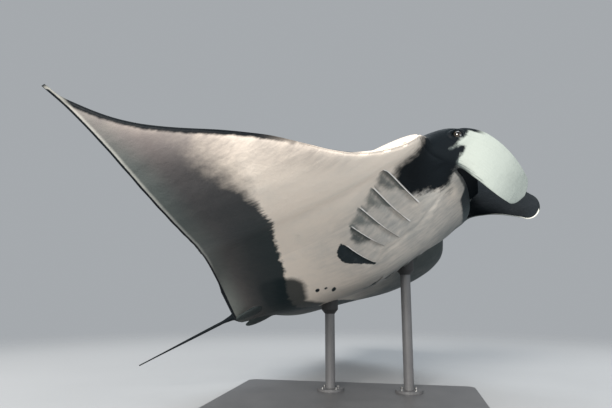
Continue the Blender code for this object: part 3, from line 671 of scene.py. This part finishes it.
def from_edge(x, side, edge):
    """Distance of each point from an open run of (x, side) points."""
    near = np.full(x.shape, 9.0)
    for start, end in zip(edge[:-1], edge[1:]):
        run = np.subtract(end, start)
        share = np.clip(((x - start[0]) * run[0] + (side - start[1]) * run[1]) / (run @ run), 0, 1)
        near = np.minimum(near, np.hypot(x - start[0] - share * run[0], side - start[1] - share * run[1]))
    return near


def rounded(patch, rounds=2):
    """The patch with its corners cut off, and those cut off again."""
    points = np.array(patch)
    for _ in range(rounds):
        after = np.roll(points, -1, axis=0)
        points = np.stack([points * 0.75 + after * 0.25, points * 0.25 + after * 0.75], 1).reshape(-1, 2)
    return points


def shore(x, side, patch):
    """Distance from a patch's edge, positive inside it."""
    patch = rounded(patch)
    within = np.zeros(x.shape, bool)
    for (x_a, side_a), (x_b, side_b) in zip(patch, np.roll(patch, -1, axis=0)):
        crossed = (side_a > side) != (side_b > side)
        within ^= crossed & (x < x_a + (side - side_a) * (x_b - x_a) / (side_b - side_a + 1e-12))
    return from_edge(x, side, np.concatenate([patch, patch[:1]])) * np.where(within, 1, -1)


x, y, z = flat.T
side = np.abs(y)
on_wall = np.abs(kind - FRONT) < 0.3
belly_front = rings[half_stations::4, back_rows + rear_rows + belly_rows - 1, :2]
belly_rear = rings[half_stations::4, back_rows + rear_rows, :2]
from_front = from_edge(x, side, belly_front)
above_mouth = ease(mouth_level - 0.006, mouth_level + 0.002, z) * ease(0.125, 0.105, side)
from_front = np.where(on_wall, -0.02 * above_mouth, from_front)
from_rear = from_edge(x, side, belly_rear) * (np.abs(kind - REAR) > 0.3)
band_line = np.interp(side, [s for _, s in band_front], [v for v, _ in band_front])
smoke_behind, smoke_depth = np.full(x.shape, -1.0), np.zeros(x.shape)
for slit, patch, deep in zip(gill_slits, gill_patches, gill_depths):
    within = np.minimum(shore(x, side, patch), gill_line(x, side, slit)[0])
    within = np.where(y > 0, np.minimum(within, side - 0.062), within)
    smoke_depth = np.where(within > smoke_behind, deep, smoke_depth)
    smoke_behind = np.maximum(smoke_behind, within)
spots = np.full(x.shape, -1.0)
for spot_x, spot_y, length, width in belly_spots:
    ahead, across = (x - spot_x) * 0.93 + (y - spot_y) * 0.37, (y - spot_y) * 0.93 - (x - spot_x) * 0.37
    spots = np.maximum(spots, (1 - np.hypot(ahead / width, across / length)) * width)
behind, along, from_slit = gill_distances(x, side)
past_first, along_first, _ = gill_line(x, side, gill_slits[0])
cut_off = (past_first > 0) & (along_first > -0.25) & (along_first < 1)
fin_patch = shore(x, z, fin_white_edge)
fin_patch = np.where(np.abs(kind - HEAD_FIN) < 0.3, fin_patch, np.minimum(fin_patch, side - 0.088))

give(skin, "place", flat * disc_width)
give(skin, "edges", np.stack([from_front * disc_width, from_rear * disc_width, under], 1))
give(skin, "band", np.stack([(band_line - x) * disc_width, shore(x, side, belly_blob) * disc_width,
                             spots * disc_width], 1))
give(skin, "patches", np.stack([np.where(cut_off, -0.05, shore(x, side, cheek)), shore(x, side, jaw_streak),
                                shore(x, side, shoulder)], 1) * disc_width)
give(skin, "gills", np.stack([behind * disc_width, along, smoke_behind * disc_width], 1))
give(skin, "roots", np.stack([fin_patch * disc_width, inside, kind], 1))
give(skin, "rims", np.stack([rim_distance * disc_width, smoke_depth, from_slit * disc_width], 1))
for name in ("kind", "inside", "rim"):
    skin.attributes.remove(skin.attributes[name])


class Shade:
    """A socket in a finish, so that sums of masks read as sums."""

    def __init__(self, finish, socket):
        self.finish = finish
        self.socket = socket

    def maths(self, operation, *values):
        return self.finish.node("ShaderNodeMath", dict(operation=operation), dict(enumerate(values)))

    def __add__(self, other):
        return self.maths("ADD", self, other)

    def __radd__(self, other):
        return self.maths("ADD", other, self)

    def __sub__(self, other):
        return self.maths("SUBTRACT", self, other)

    def __rsub__(self, other):
        return self.maths("SUBTRACT", other, self)

    def __mul__(self, other):
        return self.maths("MULTIPLY", self, other)

    def __rmul__(self, other):
        return self.maths("MULTIPLY", other, self)

    def __truediv__(self, other):
        return self.maths("DIVIDE", self, other)

    def greater(self, other):
        return self.maths("MAXIMUM", self, other)

    def size(self):
        return self.maths("ABSOLUTE", self)

    def root(self):
        return self.maths("SQRT", self)

    def ramp(self, start, end):
        """0 before start and 1 after end, eased."""
        settings = dict(interpolation_type="SMOOTHSTEP")
        return self.finish.node("ShaderNodeMapRange", settings, {0: self, 1: start, 2: end})

    def rise(self, start, end):
        """The same between two numbers, falling instead where the start is the larger."""
        return self.ramp(start, end) if start <= end else 1 - self.ramp(end, start)


class Finish:
    """A material, with one method that adds any node."""

    def __init__(self, name, **constants):
        self.material = bpy.data.materials.new(name)
        self.material.use_nodes = True
        self.tree = self.material.node_tree
        self.shader = self.tree.nodes["Principled BSDF"]
        for socket, value in constants.items():
            self.shader.inputs[socket.replace("_", " ")].default_value = value

    def node(self, kind, settings, sockets, output=0):
        made = self.tree.nodes.new(kind)
        for name, value in settings.items():
            setattr(made, name, value)
        for socket, value in sockets.items():
            if isinstance(value, Shade):
                self.tree.links.new(value.socket, made.inputs[socket])
            else:
                made.inputs[socket].default_value = value
        return Shade(self, made.outputs[output])

    def carried(self, name):
        """A vector given to each vertex."""
        return self.node("ShaderNodeAttribute", dict(attribute_name=name), {}, "Vector")

    def own_place(self):
        return self.node("ShaderNodeTexCoord", {}, {}, "Object")

    def parts_of(self, vector):
        return [self.node("ShaderNodeSeparateXYZ", {}, {0: vector}, i) for i in range(3)]

    def noise(self, place, scale, detail=4.0, rough=0.55, stretch=(1, 1, 1)):
        """Noise from -1 to 1, at so many features a metre."""
        moved = self.node("ShaderNodeVectorMath", dict(operation="MULTIPLY"), {0: place, 1: stretch})
        sockets = {"Vector": moved, "Scale": scale, "Detail": detail, "Roughness": rough}
        return self.node("ShaderNodeTexNoise", {}, sockets) * 2 - 1

    def mix(self, first, second, share):
        settings = dict(data_type="RGBA", clamp_factor=True)
        return self.node("ShaderNodeMix", settings, {0: share, 6: first, 7: second}, 2)

    def feed(self, **sockets):
        for name, value in sockets.items():
            self.tree.links.new(value.socket, self.shader.inputs[name.replace("_", " ")])

    def bump(self, *layers):
        """Bump nodes one on another, each of a height and its depth in metres."""
        normal = None
        for height, depth in layers:
            sockets = {"Height": height, "Distance": depth}
            if normal:
                sockets["Normal"] = normal
            normal = self.node("ShaderNodeBump", {}, sockets)
        self.feed(Normal=normal)


white_cream = (0.88, 0.77, 0.66, 1)
white_grey = (0.70, 0.66, 0.60, 1)
white_stain = (0.50, 0.42, 0.33, 1)
# Throat grey: partly the throat's own tint, partly painted shade.
throat_grey_and_shade = (0.175, 0.20, 0.21, 1)
smoke = (0.062, 0.058, 0.060, 1)
# Deep smoke: the band's own colour, and also painted shade on the pelvic fins.
smoke_deep_and_shade = (0.024, 0.036, 0.038, 1)
smoke_brown = (0.105, 0.096, 0.094, 1)
smoke_tip = (0.23, 0.195, 0.185, 1)
smoke_green = (0.070, 0.096, 0.092, 1)
gill_smoke = (0.075, 0.105, 0.105, 1)
gill_black = (0.020, 0.028, 0.032, 1)
# Slit black: painted shadow inside the gill slits.
slit_shadow_black = (0.022, 0.029, 0.031, 1)
blotch_black = (0.013, 0.022, 0.025, 1)
black_skin = (0.0030, 0.0052, 0.0072, 1)
black_worn = (0.010, 0.016, 0.020, 1)
jaw_grey = (0.060, 0.080, 0.082, 1)
lip_grey = (0.16, 0.18, 0.18, 1)
lip_black = (0.018, 0.026, 0.030, 1)
# Flap light: a painted highlight on the gill flaps' edges.
flap_highlight_colour = (0.93, 0.92, 0.90, 1)
edge_grey = (0.20, 0.18, 0.175, 1)
# The next two colours are painted shade, for the belly's left side and the left wing's underside.
painted_shade_green = (0.040, 0.060, 0.064, 1)
painted_far_shade_green = (0.030, 0.042, 0.045, 1)
pale_rim = (0.62, 0.62, 0.57, 1)
fin_white = (0.31, 0.345, 0.32, 1)
fin_pleat = (0.23, 0.255, 0.237, 1)
fin_grey = (0.22, 0.25, 0.24, 1)
fin_low = (0.030, 0.042, 0.045, 1)

hide = Finish("manta_hide")
hide.shader.inputs["Specular IOR Level"].default_value = 0.10
place_on = hide.carried("place")
from_front, from_rear, under_side = hide.parts_of(hide.carried("edges"))
band_depth, blob, spots = hide.parts_of(hide.carried("band"))
cheeks, jaw_streaks, shoulders = hide.parts_of(hide.carried("patches"))
behind_gill, along_gill, gill_shore = hide.parts_of(hide.carried("gills"))
fin_patch, in_mouth, part = hide.parts_of(hide.carried("roots"))
fin_rim, smoke_depth, from_slit = hide.parts_of(hide.carried("rims"))
fin_place = hide.carried("fin")
fin_along, fin_across, fin_face = hide.parts_of(fin_place)
ahead, left, height = hide.parts_of(place_on)
span = left.size() * (1 / disc_width)

broad = hide.noise(place_on, 1.6, 3)
cloudy = hide.noise(place_on, 6, 5, 0.6)
ragged = hide.noise(place_on, 22, 5, 0.62)
fine = hide.noise(place_on, 95, 4, 0.6)
strokes = hide.noise(place_on, 26, 4, 0.6, (0.35, 1.6, 1.0))
grain = hide.noise(place_on, 420, 2, 0.5)

# Below: cream over the belly, greyer and stained in clouds, with a few flecks, and a grey throat that is
# partly its own tint and partly painted shade.
cream = hide.mix(white_cream, white_grey, cloudy.rise(-0.2, 0.9) * 0.5 + broad.rise(-0.3, 0.8) * 0.35)
cream = hide.mix(cream, white_stain, (ragged + cloudy).rise(0.45, 1.2) * 0.35)
# The throat's grey: partly its own tint, partly painted shade.
throat = (ahead + 1.20 + ragged * 0.05).rise(-0.3, 0.4) * span.rise(0.17, 0.09)
cream = hide.mix(cream, throat_grey_and_shade, throat * (0.62 + strokes * 0.28 + cloudy * 0.2))

# The smoky band: deep and sharp at its front edge inboard, soft and browner towards the tip.
tipward = span.rise(0.30, 0.46)
depth = band_depth + ragged * 0.030 + strokes * 0.020 + cloudy * (0.02 + tipward * 0.07) + tipward * 0.14
soft = 0.020 + tipward * 0.26
entry = depth.ramp(soft * -0.6, soft * 0.7)
level = 1.0 - 0.05 * band_depth.rise(0.10, 0.45) - 0.10 * span.rise(0.43, 0.50) + cloudy * 0.03
band_mask = entry * level
browned = ragged.rise(-0.2, 0.8) * 0.35 + cloudy.rise(-0.4, 0.8) * 0.4
band_colour = hide.mix(smoke, smoke_brown, browned)
band_colour = hide.mix(band_colour, smoke_tip, span.rise(0.38, 0.49))
front_inboard = band_depth.rise(0.45, 0.02) * span.rise(0.44, 0.22)
band_colour = hide.mix(band_colour, smoke_deep_and_shade, front_inboard * 0.8)
band_colour = hide.mix(band_colour, smoke_green, from_rear.rise(0.14, 0.02) * 0.6)
below = hide.mix(cream, band_colour, band_mask)

# Black blotch, spots and, behind each gill, smoke cut off cleanly by the flap in front of it.
away = from_slit.rise(0.0, 0.03)
blob_mask = (blob + ragged * 0.016 + fine * 0.004).rise(-0.030, 0.020)
blob_mask = blob_mask * (0.55 + 0.45 * band_depth.rise(0.12, 0.03))
below = hide.mix(below, blotch_black, blob_mask * 0.93)
spot_mask = (spots + fine * 0.004 + ragged * 0.003).rise(-0.002, 0.003)
below = hide.mix(below, black_worn, spot_mask)
gill_ragged = away * (ragged * 0.035 + strokes * 0.030) * (1.25 - smoke_depth)
gill_soft = 0.050 - smoke_depth.rise(0.8, 0.95) * 0.042
gill_edge = gill_shore + gill_ragged + away * fine * 0.006
gill_edge = gill_edge + (1 - away) * gill_soft * gill_shore.rise(-0.001, 0.001)
gill_entry = gill_edge.ramp(0.0, gill_soft)
gill_dark = hide.mix(gill_smoke, gill_black, smoke_depth.rise(0.6, 1.0))
below = hide.mix(below, gill_dark, gill_entry * (smoke_depth + fine * 0.05 + ragged * 0.08))

# Painted shadow: a dark line where each slit opens under its flap, fading out on the left side.
in_slit = along_gill.rise(-0.03, 0.06) * along_gill.rise(1.03, 0.94)
in_slit = in_slit * under_side * from_slit.rise(0.012, 0.010)
slit_shadow_line = behind_gill.rise(-0.0005, 0.0015) * behind_gill.rise(0.0085, 0.0045) * in_slit
slit_shadow_line = slit_shadow_line * (0.45 + 0.50 * along_gill.rise(0.3, 0.7)) * left.rise(0.3, -0.1)
below = hide.mix(below, slit_shadow_black, slit_shadow_line)

# Black cheeks with a streak down the jaw, and a dark lip, widest in the middle.
cheek_soft = 0.035 + span.rise(0.105, 0.135) * 0.05
cheek_edge = cheeks + ragged * 0.040 + strokes * 0.035
cheek_mask = cheek_edge.ramp(cheek_soft * -0.9, cheek_soft * 0.45)
jaw_mask = (jaw_streaks + strokes * 0.05 + ragged * 0.03).rise(-0.03, 0.05)
below = hide.mix(below, jaw_grey, jaw_mask * 0.75)
near_side = (left * (1 / disc_width)).rise(-0.024, -0.046)
lip_width = 0.010 + (1 - near_side) * span.rise(0.085, 0.020) * 0.055 + left.rise(0.1, 0.3) * 0.020
lip_edge = (lip_width - from_front + ragged * 0.008 + fine * 0.004) * span.rise(0.112, 0.100)
lip_shade = from_front.rise(0.085, 0.020) * from_front.rise(-0.03, 0.0) * span.rise(0.11, 0.09)
below = hide.mix(below, lip_grey, lip_shade * 0.45)
below = hide.mix(below, lip_black, lip_edge.rise(-0.003, 0.016))
below = hide.mix(below, black_skin, cheek_mask)

# Painted highlight along each gill flap's free edge, stronger towards its outer end and fading out on the
# left side, which lies in shade.
flap_highlight_mask = behind_gill.rise(-0.0115, -0.0065) * behind_gill.rise(0.0010, -0.0008) * in_slit
flap_highlight_strength = 0.35 + 0.65 * along_gill.rise(0.25, 0.5).greater(ahead.rise(-0.64, -0.62))
below = hide.mix(below, flap_highlight_colour, flap_highlight_mask * flap_highlight_strength * left.rise(0.5, 0.05))

# Soft grey along the wing's front, painted shade over the belly's left side and over the left wing's
# underside near its front edge, and thin black lines round the wing.
front_shade = from_front.rise(0.17, 0.02) * span.rise(0.27, 0.36) * (0.42 + strokes * 0.5 + ragged * 0.2)
below = hide.mix(below, edge_grey, front_shade)
# Painted shade: the belly's left side darkened, most towards the front.
painted_belly_shade = left.rise(-0.12, 0.42) * ahead.rise(-1.55, -1.05) * 0.55 + left.rise(-0.10, 0.15) * 0.25
below = hide.mix(below, painted_shade_green, painted_belly_shade * (0.95 + cloudy * 0.25))
# Painted shade: the left wing's underside darkened near its front edge.
painted_far_shade = left.rise(0.40, 0.66) * from_front.rise(0.75, 0.25) * (0.90 + cloudy * 0.12)
below = hide.mix(below, painted_far_shade_green, painted_far_shade)
front_line = span.rise(0.30, 0.44) * 0.013
front_mask = (front_line - from_front + ragged * 0.006 + strokes * 0.005).rise(-0.006, 0.005)
front_mask = front_mask * front_line.rise(0.002, 0.009)
upper_wall = (under_side + ragged * 0.08).rise(0.93, 0.70) * span.rise(0.17, 0.20)
wing_tip = span.rise(0.488, 0.494)
below = hide.mix(below, black_skin, front_mask.greater(upper_wall).greater(wing_tip))
fringe = (from_rear + fine * 0.002).rise(0.022, 0.010)
below = hide.mix(below, pale_rim, fringe * 0.35 * span.rise(0.10, 0.16))
below = hide.mix(below, black_skin, (from_rear + fine * 0.0015).rise(0.0085, 0.0050))

# Above: black, a little worn, with the white shoulders.
above = hide.mix(black_skin, black_worn, cloudy.rise(-0.4, 0.8) * 0.6 + ragged.rise(0.2, 1.0) * 0.4)
shoulder_mask = (shoulders + ragged * 0.05 + cloudy * 0.06 + strokes * 0.03).rise(-0.02, 0.05)
above = hide.mix(above, cream, shoulder_mask * 0.80)
colour = hide.mix(above, below, (under_side + fine * 0.10).rise(0.40, 0.60))

# The head fins: white outside, black inside, with a thin pale rim, and black strokes at the root.
pleat = hide.noise(fin_place, 1.0, 2, 0.5, (2.0, 14, 0))
comb = hide.noise(fin_place, 1.0, 3, 0.6, (5.0, 20, 0))
pleated = pleat.rise(-0.1, 0.9) * 0.30 + cloudy.rise(-0.2, 1) * 0.25
fin_outer = hide.mix(fin_white, fin_pleat, pleated)
fin_outer = hide.mix(fin_outer, fin_grey, fin_along.rise(0.35, 0.05) * comb.rise(0.0, 0.6) * 0.45)
low_edge = (0.050 - fin_rim + comb * 0.035 + ragged * 0.012 - fin_along * 0.075).rise(0.0, 0.035)
low_edge = low_edge * fin_across.rise(-0.05, -0.35) * fin_along.rise(0.70, 0.40)
fin_outer = hide.mix(fin_outer, fin_low, low_edge * 0.85)
top_edge = (fin_across + ragged * 0.06).rise(0.80, 0.88) * fin_along.rise(0.30, 0.20)
top_edge = top_edge * fin_along.rise(0.06, 0.09).greater(left.rise(0.0, 0.1))
fin_outer = hide.mix(fin_outer, black_skin, top_edge)
lower_rim = fin_along.rise(0.35, 0.55) * fin_across.rise(0.6, 0.1)
fin_inner = hide.mix(black_skin, pale_rim, (fin_rim + fine * 0.002).rise(0.008, 0.004) * lower_rim)
fin_colour = hide.mix(fin_outer, fin_inner, (fin_face + fine * 0.04).rise(0.05, 0.25))
fin_mask = (fin_patch + ragged * 0.020 + fine * 0.008 + strokes * 0.010).rise(-0.008, 0.014)
colour = hide.mix(colour, fin_colour, fin_mask * (1 - in_mouth.rise(0.1, 0.5)))

# The mouth, the tail, the dorsal fin and the tail's root are black. The pelvic fins are darkened nearly as
# much, as painted shade.
colour = hide.mix(colour, black_skin, (in_mouth + fine * 0.1).rise(0.2, 0.6))
past_head = part.rise(TAIL - 0.6, TAIL - 0.4)
colour = hide.mix(colour, black_skin, past_head * part.rise(PELVIC_FIN - 0.4, PELVIC_FIN - 0.6))
# Painted shade: the pelvic fins darkened towards deep smoke.
colour = hide.mix(colour, smoke_deep_and_shade, part.rise(PELVIC_FIN - 0.4, PELVIC_FIN - 0.1) * 0.70)
colour = hide.mix(colour, black_skin, ahead.rise(-1.895, -1.912) * span.rise(0.014, 0.010))

hide.feed(Base_Color=colour, Roughness=0.58 + cloudy * 0.05 + fine * 0.05)
hide.bump((broad + cloudy, 0.004), (ragged, 0.0008), (fine, 0.0003), (grain, 0.00015),
          (pleat * fin_along.rise(0.03, 0.2) * fin_face.rise(0.2, -0.2), 0.0007))
skin.materials.clear()
skin.materials.append(hide.material)
skin.polygons.foreach_set("material_index", np.zeros(len(skin.polygons), np.int32))
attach(body, "root")
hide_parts("head", "lower_jaw", "trunk", "pectoral_fin_right", "pectoral_fin_right_tip",
            "pectoral_fin_left", "pectoral_fin_left_tip", "cephalic_fin_right", "cephalic_fin_left",
            "pelvic_fin_right", "pelvic_fin_left", "dorsal_fin", "tail_base", "tail_middle", "tail_tip")

# ---- The eyes ----
# Glass taxidermy eyes: a dark globe with a bronze-brown iris, a flat sideways pupil under a glossy
# clear dome. Each sits in its bony swelling behind the head fin's root and looks out to the side.


def eye(name, sign):
    centre = np.array(eye_place) * (1, sign, 1)
    middle = place(centre)[0]
    outward = place(centre + np.array(eye_gaze) * (1, sign, 1) * 0.004)[0] - middle
    outward /= np.linalg.norm(outward)
    ahead = place(centre + np.array((0.004, 0, 0)))[0] - middle
    ahead -= outward * (ahead @ outward)
    ahead /= np.linalg.norm(ahead)
    up = np.cross(outward, ahead) * sign
    polar = np.radians(np.linspace(1.5, 178.5, 90))[:, None]
    turns = 2 * pi * np.arange(96) / 96
    dome = 1 + 0.05 * np.exp(-(np.degrees(polar) / 26)**4)
    globe = np.stack(np.broadcast_arrays(
        np.sin(polar) * np.cos(turns) * dome, np.sin(polar) * np.sin(turns) * dome,
        np.cos(polar) * dome + 0 * turns), -1)
    points = globe @ np.stack([ahead, up, outward]) * eye_radius * disc_width + middle
    piece = new_piece(name, points, ring_faces(*points.shape[:2]))
    face_outward(piece.data)
    give(piece.data, "gaze", globe.reshape(-1, 3))
    piece.data.polygons.foreach_set("use_smooth", np.ones(len(piece.data.polygons), bool))
    return piece


glass = Finish("eye_glass", Roughness=0.10)
glass.shader.inputs["Coat Weight"].default_value = 0.5
glass.shader.inputs["Coat Roughness"].default_value = 0.03
gaze = glass.carried("gaze")
gaze_ahead, gaze_up, _ = glass.parts_of(gaze)
flecks = glass.noise(gaze, 9, 4, 0.6)
threads = glass.noise(gaze, 30, 3, 0.6, (1, 1, 0.1))
ring = (gaze_ahead * gaze_ahead + gaze_up * gaze_up).root()
iris_dark, iris_brown = (0.016, 0.012, 0.008, 1), (0.052, 0.038, 0.022, 1)
globe_dark, pupil_black = (0.004, 0.005, 0.006, 1), (0.001, 0.001, 0.0015, 1)
iris = glass.mix(iris_dark, iris_brown, (threads + flecks * 0.5).rise(-0.3, 0.8))
iris = glass.mix(iris, globe_dark, ring.rise(0.50, 0.60))
pupil_shape = gaze_ahead * gaze_ahead / 0.15 + (gaze_up + 0.02) * (gaze_up + 0.02) / 0.045
iris = glass.mix(iris, pupil_black, pupil_shape.rise(1.12, 0.95))
glass.feed(Base_Color=iris)
for sign, where in ((-1, "right"), (1, "left")):
    globe = eye(f"glass_eye_{where}", sign)
    globe.data.materials.append(glass.material)
    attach(globe, "root")
    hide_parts(f"eye_{where}")

# ---- The stand ----
# Two steel tubes carry the ray from flanges on a steel base plate, each with a rubber pad against the
# belly. The steel is powder coated; four socket screws hold each flange down.

flange_thick, base_thick, screw_circle = 0.016, 0.020, 0.068
steel = Finish("powder_coated_steel", Roughness=0.42)
coat_place = steel.own_place()
peel = steel.noise(coat_place, 900, 2, 0.5)
haze = steel.noise(coat_place, 4, 4, 0.6)
scuff = steel.noise(coat_place, 45, 5, 0.7, (1, 1, 0.2))
coat_dark, coat_light = (0.085, 0.086, 0.090, 1), (0.115, 0.116, 0.120, 1)
steel.feed(Base_Color=steel.mix(coat_dark, coat_light, haze.rise(-0.5, 0.5)),
           Roughness=0.42 + haze * 0.04 + scuff.rise(0.3, 0.9) * 0.10)
steel.bump((peel, 0.00012))
rubber = Finish("pad_rubber", Roughness=0.7)
rubber_place = rubber.own_place()
rubber_grain = rubber.noise(rubber_place, 700, 3, 0.6)
rubber_dark, rubber_worn = (0.018, 0.018, 0.019, 1), (0.035, 0.035, 0.036, 1)
rubber.feed(Base_Color=rubber.mix(rubber_dark, rubber_worn, rubber_grain.rise(-0.4, 0.6)),
            Roughness=0.72 + rubber_grain * 0.08)
rubber.bump((rubber_grain, 0.0003))
for name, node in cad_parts.items():
    if name.startswith("stand_"):
        for slot in node.material_slots:
            slot.material = (rubber if "pad" in name else steel).material


def turned(name, profile, count, centre):
    """A piece turned about a vertical axis, from its (radius, height) profile."""
    turns = 2 * pi * np.arange(count) / count
    rings = [[(r * cos(a), r * sin(a), h) for a in turns] for r, h in profile]
    piece = new_piece(name, np.array(rings) + np.array(centre), ring_faces(len(profile), count))
    face_outward(piece.data)
    return piece


# Half the outlines of a washer and of a socket screw's head: radius and height over the flange.
washer = ((0.0055, 0.0), (0.0115, 0.0), (0.0120, 0.0005), (0.0120, 0.0017), (0.0115, 0.0022),
          (0.0055, 0.0022))
cap = ((0.0003, 0.0022), (0.0085, 0.0022), (0.0085, 0.0105), (0.0079, 0.0112), (0.0052, 0.0112),
       (0.0048, 0.0107), (0.0048, 0.0060), (0.0003, 0.0054))
screws = []
for name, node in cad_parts.items():
    if "flange" in name:
        corners = np.array([node.matrix_world @ Vector(corner) for corner in node.bound_box])
        middle_x, middle_y, _ = (corners.min(axis=0) + corners.max(axis=0)) / 2
        for quarter in range(4):
            turn = radians(45 + 90 * quarter)
            at = (middle_x + screw_circle * cos(turn), middle_y + screw_circle * sin(turn),
                  base_thick + flange_thick)
            screws.append(turned(f"{name}_washer_{quarter}", washer, 32, at))
            screws.append(turned(f"{name}_screw_{quarter}", cap, 48, at))
bm = bmesh.new()
for screw in screws:
    bm.from_mesh(screw.data)
    bpy.data.objects.remove(screw)
hardware = bpy.data.meshes.new("flange_screws")
bm.to_mesh(hardware)
bm.free()
hardware = bpy.data.objects.new("flange_screws", hardware)
bpy.context.scene.collection.objects.link(hardware)
zinc = Finish("zinc_plate", Roughness=0.34, Metallic=1.0)
zinc_place = zinc.own_place()
zinc_cloud = zinc.noise(zinc_place, 160, 4, 0.6)
zinc_dull, zinc_bright = (0.36, 0.36, 0.36, 1), (0.48, 0.48, 0.47, 1)
zinc.feed(Base_Color=zinc.mix(zinc_dull, zinc_bright, zinc_cloud.rise(-0.5, 0.6)),
          Roughness=0.36 + zinc_cloud * 0.08)
hardware.data.materials.append(zinc.material)
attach(hardware, "root")

# ---- The studio ----
# A pale floor that grows paler further out, painted light standing in for the lamps' light that falls off
# there, and fades into pale air; a broad soft key from the camera's side, a large softbox overhead, and a
# small fill from the left wing's side.

turns = 2 * pi * np.arange(128) / 128
sweep = np.array([[(r * cos(a), r * sin(a), 0.0) for a in turns] for r in np.linspace(0.01, 16, 40)])
floor = new_piece("studio_floor", sweep, ring_faces(*sweep.shape[:2])[:-1])
plaster = Finish("studio_paint", Roughness=0.8)
plaster_place = plaster.own_place()
far = plaster.node("ShaderNodeVectorMath", dict(operation="LENGTH"), {0: plaster_place}, "Value")
mottle = plaster.noise(plaster_place, 0.8, 4, 0.6)
paint_dark, paint_light, far_floor_painted_light = (0.40, 0.41, 0.42, 1), (0.43, 0.44, 0.45, 1), (0.60, 0.61, 0.62, 1)
paint = plaster.mix(paint_dark, paint_light, mottle.rise(-0.6, 0.6))
# Painted light: the floor is paler further out, where the lamps light it less, to meet the air.
plaster.feed(Base_Color=plaster.mix(paint, far_floor_painted_light, far.rise(1.2, 5.0)), Alpha=far.rise(7.5, 2.2))
floor.data.materials.append(plaster.material)

world = bpy.data.worlds.new("studio_air")
bpy.context.scene.world = world
world.use_nodes = True
air = world.node_tree.nodes["Background"]
air.inputs["Color"].default_value = (0.90, 0.95, 1.0, 1)
air.inputs["Strength"].default_value = 0.42


def softbox(name, where, aim, size, power, colour):
    light = bpy.data.lights.new(name, "AREA")
    light.shape = "RECTANGLE"
    light.size, light.size_y = size
    light.energy = power
    light.color = colour
    holder = bpy.data.objects.new(name, light)
    bpy.context.scene.collection.objects.link(holder)
    holder.location = where
    holder.visible_camera = False
    holder.rotation_euler = (Vector(aim) - Vector(where)).to_track_quat("-Z", "Y").to_euler()
    return holder


softbox("key_softbox", (-1.5, -12.4, 6.0), (-0.3, 0.0, 1.2), (5.2, 4.4), 3450, (1.0, 0.955, 0.90))
softbox("top_softbox", (0.4, 1.2, 5.2), (0.1, 0.0, 1.0), (3.6, 3.6), 110, (0.84, 0.93, 1.0))
softbox("fill_softbox", (4.2, -1.8, 1.8), (0.3, 0.0, 1.0), (2.0, 2.0), 45, (0.9, 0.96, 1.0))

camera = bpy.data.objects.new("camera", bpy.data.cameras.new("camera"))
bpy.context.scene.collection.objects.link(camera)
bpy.context.scene.camera = camera
camera.data.lens, camera.data.sensor_width = 29.408, 36.0
camera.data.clip_end = 80
camera_aim = Vector((-0.18991357, 0.96632249, 0.17364818))
camera.location = (0.3815, -3.3341, 0.6972)
camera.rotation_mode = "QUATERNION"
camera.rotation_quaternion = camera_aim.to_track_quat("-Z", "Y")
bpy.context.scene.view_settings.view_transform = "Standard"
